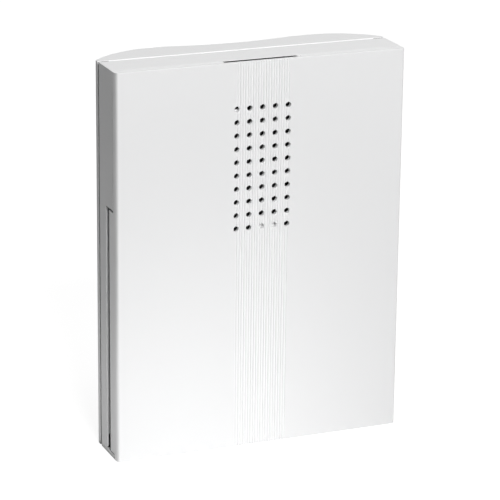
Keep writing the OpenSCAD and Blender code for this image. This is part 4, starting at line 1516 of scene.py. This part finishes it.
@dataclass
class Plunger:
    """The moving striker and its return spring.

    Attributes:
        socket: Radius of a rod's socket in a tip.
        socket_depth: Depth of that socket.
        turns: Turns of the spring.
        wire: Radius of the spring's wire.
        squashed: Share of the spring's length that is left when the plunger is at the left plate; not used.
        columns: Steps round a tip.
    """

    socket: float = 1.625 * MM
    socket_depth: float = 4.0 * MM
    turns: float = 7.0
    wire: float = 0.25 * MM
    squashed: float = 0.374
    columns: int = 72

    def tip(self, node: str, outwards: float) -> np.ndarray:
        """Builds a striker tip from its socket, round a waisted collar, to a dome.

        The dome is the arc r = D sin a, along = length - D + D cos a, where D is the radius of the
        sphere that it is cut from.

        Args:
            node: The tip's CAD node.
            outwards: 1 where the dome faces right, and -1 where it faces left.

        Returns:
            Points by row and column.
        """
        box = node_box(node)
        length, radius = box.size[0], box.size[1] / 2.0
        rise = length - self.socket_depth
        sphere = (radius**2 + rise**2) / (2.0 * rise)
        sweep = np.linspace(math.asin(radius / sphere), 0.0, 16)
        dome = np.stack([length - sphere + sphere * np.cos(sweep), sphere * np.sin(sweep)], axis=1)
        collar = [
            (self.socket_depth, 0.0),
            (self.socket_depth, self.socket),
            (0.0, self.socket),
            (0.0, radius - 0.7 * MM),
            (1.3 * MM, radius - 0.7 * MM),
            (1.7 * MM, radius),
            (length - rise - 0.3 * MM, radius),
        ]
        profile = np.concatenate([eased(collar, 0.25 * MM, closed=False), dome])
        end = np.array([box.low[0] if outwards > 0 else box.high[0], box.middle[1], box.middle[2]])
        return around(Axis.X, end, outwards * profile[:, 0], profile[:, 1], self.columns)

    def spring(self) -> bpy.types.Object:
        """Builds the spring: a helix whose pitch closes up at both ends.

        A point lies at the angle 2 pi * turns * t round the axis, and at the share
        t - 0.06 sin(2 pi t) of the length.

        Returns:
            The spring's object.
        """
        box = node_box("return_spring")
        t = np.linspace(0.0, 1.0, int(self.turns * 40))
        angle = FULL_TURN * self.turns * t
        mean = box.size[1] / 2.0 - self.wire
        along = self.wire + (box.size[0] - 2.0 * self.wire) * (t - 0.06 * np.sin(FULL_TURN * t))
        radial = np.stack([np.zeros_like(t), np.cos(angle), np.sin(angle)], axis=1)
        start = np.array([box.low[0], box.middle[1], box.middle[2]])
        path = start + along[:, None] * np.array([1.0, 0.0, 0.0]) + mean * radial
        surface = Surface()
        surface.add(tube(path, np.full(len(t), self.wire), radial, 10))
        return surface.piece("return_spring_look")

    def build(self, wardrobe: Wardrobe) -> None:
        """Builds and dresses the core, rods, tips, collar and spring.

        Args:
            wardrobe: The chime's materials.
        """
        Core("plunger_core", Body.PLUNGER, Slot.CORE, edge=0.15 * MM).build(wardrobe)
        for side, outwards in (("left", -1.0), ("right", 1.0)):
            rod, node = f"striker_rod_{side}", f"striker_tip_{side}"
            Turned(rod, Body.PLUNGER, Slot.NYLON, edge=0.35 * MM, columns=48).build(wardrobe)
            surface = Surface()
            surface.add(self.tip(node, outwards))
            wardrobe.place(surface.piece(node + "_look"), Body.PLUNGER, Slot.NYLON, node)
        Turned("spring_collar", Body.PLUNGER, Slot.SPRING, self.socket, 0.2 * MM).build(wardrobe)
        spring = self.spring()
        wardrobe.place(spring, Body.CASE, Slot.SPRING, "return_spring")
        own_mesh(spring)


@dataclass
class Terminals:
    """The terminal block with its clamps and screws, the solder lugs and the coil's two leads.

    Attributes:
        eye: Radius of the hole in a lug.
        lead: Radius of a lead's insulation.
        lead_drop: Height above the block at which a lead turns straight down.
        lead_tail: Length of the straight end in the block.
        lead_above: Length of the straight end at the lug.
        screw_head: Height of a clamp screw's head.
        screw_slot: Width of its slot.
        columns: Steps round a lug.
    """

    eye: float = 0.65 * MM
    lead: float = 0.7 * MM
    lead_drop: float = 3.0 * MM
    lead_tail: float = 4.0 * MM
    lead_above: float = 2.0 * MM
    screw_head: float = 1.6 * MM
    screw_slot: float = 0.7 * MM
    columns: int = 96

    def lug(self, box: Box) -> np.ndarray:
        """Builds a solder lug: a plate with a well-rounded outline and an eye.

        The outline's reach at angle a is 1 / (|cos a / w|^5 + |sin a / h|^5)^(1/5), with w and h
        its half sides. The rows go from its edge to the eye and back.

        Args:
            box: Box of the CAD lug.

        Returns:
            Points by row and column.
        """
        half_w, half_t, half_h = box.size[0] / 2.0, box.size[1] / 2.0, box.size[2] / 2.0
        angle = turn_angles(self.columns)
        c, s = np.cos(angle), np.sin(angle)
        reach = (np.abs(c / half_w) ** 5 + np.abs(s / half_h) ** 5) ** -0.2
        rim = np.stack([reach * c, reach * s], axis=1)
        eye_middle = np.array([0.0, -0.35 * half_h])
        hole = self.eye * np.stack([c, s], axis=1) + eye_middle
        half = [[0.0, -0.7], [0.06, -1.0], [0.9, -1.0], [1.0, -0.7]]
        rows = np.array(half + [[inwards, -face] for inwards, face in reversed(half)])
        inwards, face = rows[:, 0, None, None], rows[:, 1, None]
        flat = rim + inwards * (hole - rim)
        depth = np.broadcast_to(face * half_t, flat.shape[:2])
        return box.middle + np.stack([flat[..., 0], depth, flat[..., 1]], axis=-1)

    def solder(self, box: Box) -> np.ndarray:
        """Builds a bead of solder round the lead's end: an ellipsoid with a slow swell in its radius.

        Args:
            box: Box of the CAD lug.

        Returns:
            Points by row and column.
        """
        fall = np.linspace(0.0, math.pi, 18)[:, None]
        angle = turn_angles(40)
        swell = 1.0 + 0.09 * np.sin(3.0 * angle + 2.0 * fall) * np.sin(fall)
        ring = np.sin(fall)
        parts = [ring * np.cos(angle), ring * np.sin(angle), np.cos(fall) * np.ones_like(angle)]
        unit = np.stack(parts, axis=-1)
        middle = np.array([box.middle[0], box.low[1] - 0.25 * MM, box.middle[2] + 0.4 * MM])
        return middle + unit * swell[..., None] * np.array([1.15, 0.62, 1.35]) * MM

    def lead_path(self, node: str) -> np.ndarray:
        """Returns a lead's route: straight down the lug, an easy curve, and straight into the block.

        The curve keeps an even fall, while the two sideways distances follow 3 t^2 - 2 t^3.

        Args:
            node: The lead's CAD node.

        Returns:
            Points of the lead's middle line.
        """
        box = node_box(node)
        left = box.middle[0] < 0
        r = self.lead
        x0, x1 = (box.low[0] + r, box.high[0] - r) if left else (box.high[0] - r, box.low[0] + r)
        top = np.array([x0, box.low[1] + r, box.high[2]])
        start = top - np.array([0.0, 0.0, self.lead_above])
        turn = np.array([x1, box.high[1] - r, box.low[2] + self.lead_tail + self.lead_drop])
        foot = np.array([x1, box.high[1] - r, box.low[2]])
        t = np.linspace(0.0, 1.0, 40)[:, None]
        share = np.concatenate([smooth_step(t), smooth_step(t), t], axis=1)
        curve = start + (turn - start) * share
        down = np.linspace(0.0, 1.0, 6)[:, None]
        return np.concatenate([top + (start - top) * down[:-1], curve, turn + (foot - turn) * down[1:]])

    def build(self, wardrobe: Wardrobe) -> None:
        """Builds and dresses the terminals, the lugs and the leads.

        Args:
            wardrobe: The chime's materials.
        """
        wardrobe.place(soft_copy("terminal_block", 0.3 * MM), Body.CASE, Slot.TERMINAL, "terminal_block")
        wardrobe.place(soft_copy("terminal_clamps", 0.15 * MM), Body.CASE, Slot.BRASS, "terminal_clamps")
        clamp_screw = Screw(
            "terminal_screws",
            Drive.SLOT,
            self.screw_head,
            dome=0.35 * MM,
            recess_width=self.screw_slot,
            recess_depth=0.8 * MM,
        )
        clamp_screw.build(wardrobe)
        Screw("terminal_block_screws").build(wardrobe)
        lugs = Surface()
        for box in solid_boxes("solder_lugs"):
            lugs.add(self.lug(box), ring=True)
            lugs.add(self.solder(box))
        wardrobe.place(lugs.piece("solder_lugs_look"), Body.CASE, Slot.TINNED, "solder_lugs")
        for node in ("coil_lead_left", "coil_lead_right"):
            path = self.lead_path(node)
            surface = Surface()
            side = np.array([[0.0, 1.0, 0.0]])
            surface.add(tube(path, np.full(len(path), self.lead), side, 20))
            wardrobe.place(surface.piece(node + "_look"), Body.CASE, Slot.LEAD, node)


@dataclass
class CableEntry:
    """The rubber grommet in the base's floor.

    Attributes:
        bore: Radius of its bore.
        neck: Radius between its lips.
        inner_lip: Thickness of the lip inside the case.
        outer_lip: Thickness of the lip on the wall's side.
        chamfer: Chamfer of the bore's mouths along the bore.
        mouth: How much wider a mouth is than the bore.
        columns: Steps round it.
    """

    bore: float = 3.5 * MM
    neck: float = 4.95 * MM
    inner_lip: float = 1.15 * MM
    outer_lip: float = 0.95 * MM
    chamfer: float = 0.8 * MM
    mouth: float = 0.5 * MM
    columns: int = 80

    def build(self, wardrobe: Wardrobe) -> None:
        """Builds and dresses the grommet.

        Args:
            wardrobe: The chime's materials.
        """
        box = node_box("cable_grommet")
        length, lip = box.size[1], box.size[0] / 2.0
        corners = [
            (0.0, self.bore + self.mouth),
            (0.0, lip),
            (self.inner_lip, lip),
            (self.inner_lip, self.neck),
            (length - self.outer_lip, self.neck),
            (length - self.outer_lip, lip),
            (length, lip),
            (length, self.bore + self.mouth),
            (length - self.chamfer, self.bore),
            (self.chamfer, self.bore),
        ]
        profile = eased(corners, 0.4 * MM)
        end = np.array([box.middle[0], box.low[1], box.middle[2]])
        surface = Surface()
        surface.add(around(Axis.Y, end, profile[:, 0], profile[:, 1], self.columns), ring=True)
        wardrobe.place(surface.piece("cable_grommet_look"), Body.CASE, Slot.RUBBER, "cable_grommet")


# Studio


@dataclass(frozen=True)
class Lamp:
    """A square soft lamp, or a round one with a cone.

    Attributes:
        name: Its name.
        at: Its place, in metres.
        aim: The point that it faces.
        size: Its side or its width across, in metres.
        power: Its power, in watts.
        glossy: Whether gloss shows it.
        cone: Angle of its cone, which fades to the edge, in degrees, or 0 for none.
    """

    name: str
    at: tuple[float, float, float]
    aim: tuple[float, float, float]
    size: float
    power: float
    glossy: bool = True
    cone: float = 0.0

    def hang(self) -> None:
        """Hangs the lamp."""
        data = bpy.data.lights.new(self.name, "SPOT" if self.cone else "AREA")
        data.energy = self.power
        if self.cone:
            data.spot_size, data.spot_blend = math.radians(self.cone), 1.0
            data.shadow_soft_size = self.size / 2.0
        else:
            data.shape, data.size = "SQUARE", self.size
        lamp = bpy.data.objects.new(self.name, data)
        lamp.visible_camera = False
        lamp.visible_glossy = self.glossy
        lamp.location = self.at
        lamp.rotation_euler = (Vector(self.aim) - Vector(self.at)).to_track_quat("-Z", "Y").to_euler()
        bpy.context.scene.collection.objects.link(lamp)


@dataclass
class Studio:
    """Camera, floor, lamps and world.

    Attributes:
        eye: Place of the camera, in millimetres.
        right, up, back: The camera's own axes.
        sensor: Width of the camera's sensor, in millimetres.
        focal: Focal length, in millimetres.
        floor_z: Height of the floor.
        floor_half: Half the floor's side.
        floor_tone: Tone of the floor for the light that it throws back.
        floor_shown: Light added to the floor where it is seen, so that it shows as white.
        sky: Strength of the world's light.
        lamps: The lamps.
    """

    eye: tuple[float, float, float] = (-478.9, -1195.4, 404.6)
    right: tuple[float, float, float] = (0.92623, -0.37684, 0.01000)
    up: tuple[float, float, float] = (0.10669, 0.28750, 0.95182)
    back: tuple[float, float, float] = (-0.36156, -0.88053, 0.30650)
    sensor: float = 36.0
    focal: float = 189.34
    floor_z: float = -0.1
    floor_half: float = 6.0
    floor_tone: float = 0.28
    floor_shown: float = 0.9
    sky: float = 0.01
    lamps: tuple[Lamp, ...] = (
        Lamp("key", (-0.16, -1.75, 1.2), (0.0, 0.0, 0.0), 0.65, 36.0),
        Lamp("top", (0.55, -0.5, 1.7), (0.0, 0.0, 0.0), 0.9, 11.2),
        Lamp("low_front", (-0.1, -1.05, 0.0), (-0.045, -0.044, -0.12), 0.16, 14.5, glossy=False, cone=17.0),
        Lamp("side_card", (-0.15, -0.03, -0.09), (-0.0765, -0.03, -0.07), 0.05, 0.016),
        Lamp("back", (0.3, 1.9, 0.3), (0.0, 0.0, 0.0), 1.2, 11.0, glossy=False),
    )

    def camera(self) -> None:
        """Places the camera at the photograph's viewpoint."""
        data = bpy.data.cameras.new("photo_camera")
        data.sensor_width, data.lens = self.sensor, self.focal
        data.clip_start, data.clip_end = 0.05, 30.0
        eye = bpy.data.objects.new("photo_camera", data)
        axes = Matrix((self.right, self.up, self.back)).transposed().to_4x4()
        eye.matrix_world = Matrix.Translation(Vector(self.eye) * MM) @ axes
        bpy.context.scene.collection.objects.link(eye)
        bpy.context.scene.camera = eye

    def floor(self) -> None:
        """Lays the pale floor. It shows as white to the camera and in gloss, and keeps the shadow."""
        h, z = self.floor_half, self.floor_z
        mesh = bpy.data.meshes.new("floor")
        mesh.from_pydata([(-h, -h, z), (h, -h, z), (h, h, z), (-h, h, z)], [], [(0, 1, 2, 3)])
        material = bpy.data.materials.new("floor_paper")
        material.use_nodes = True
        w = Wiring(material.node_tree)
        shader = material.node_tree.nodes["Principled BSDF"]
        shader.inputs["Base Color"].default_value = (self.floor_tone,) * 3 + (1.0,)
        shader.inputs["Roughness"].default_value = 0.9
        shader.inputs["Specular IOR Level"].default_value = 0.0
        glow = w.add("Emission", {"Strength": w.scaled(w.seen_rays(), self.floor_shown)}).outputs[0]
        both = w.add("AddShader", {0: shader.outputs[0], 1: glow}).outputs[0]
        w.feed(material.node_tree.nodes["Material Output"].inputs["Surface"], both)
        mesh.materials.append(material)
        floor = bpy.data.objects.new("floor", mesh)
        bpy.context.scene.collection.objects.link(floor)

    def world(self) -> None:
        """Sets a plain world: white where it is seen, and a low level for the light it gives."""
        world = bpy.data.worlds.new("studio_world")
        world.use_nodes = True
        w = Wiring(world.node_tree)
        strength = w.add("MapRange", {"Value": w.seen_rays(), "To Min": self.sky, "To Max": 1.0}).outputs[0]
        ground = world.node_tree.nodes["Background"]
        ground.inputs["Color"].default_value = (1.0, 1.0, 1.0, 1.0)
        w.feed(ground.inputs["Strength"], strength)
        bpy.context.scene.world = world

    def build(self) -> None:
        """Sets up the whole studio."""
        bpy.context.scene.view_settings.view_transform = "Standard"
        self.camera()
        self.floor()
        self.world()
        for lamp in self.lamps:
            lamp.hang()


def main() -> None:
    """Builds the studio and every piece."""
    logging.basicConfig(level=logging.INFO, format="%(name)s %(message)s")
    CAD_NODES.update(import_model()["nodes"])
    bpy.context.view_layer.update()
    Studio().build()
    wardrobe = Wardrobe()
    Housing().build(wardrobe)
    Screw("frame_screws").build(wardrobe)
    TonePlates().build(wardrobe)
    Coil().build(wardrobe)
    Plunger().build(wardrobe)
    Terminals().build(wardrobe)
    CableEntry().build(wardrobe)


if __name__ == "__main__":
    main()
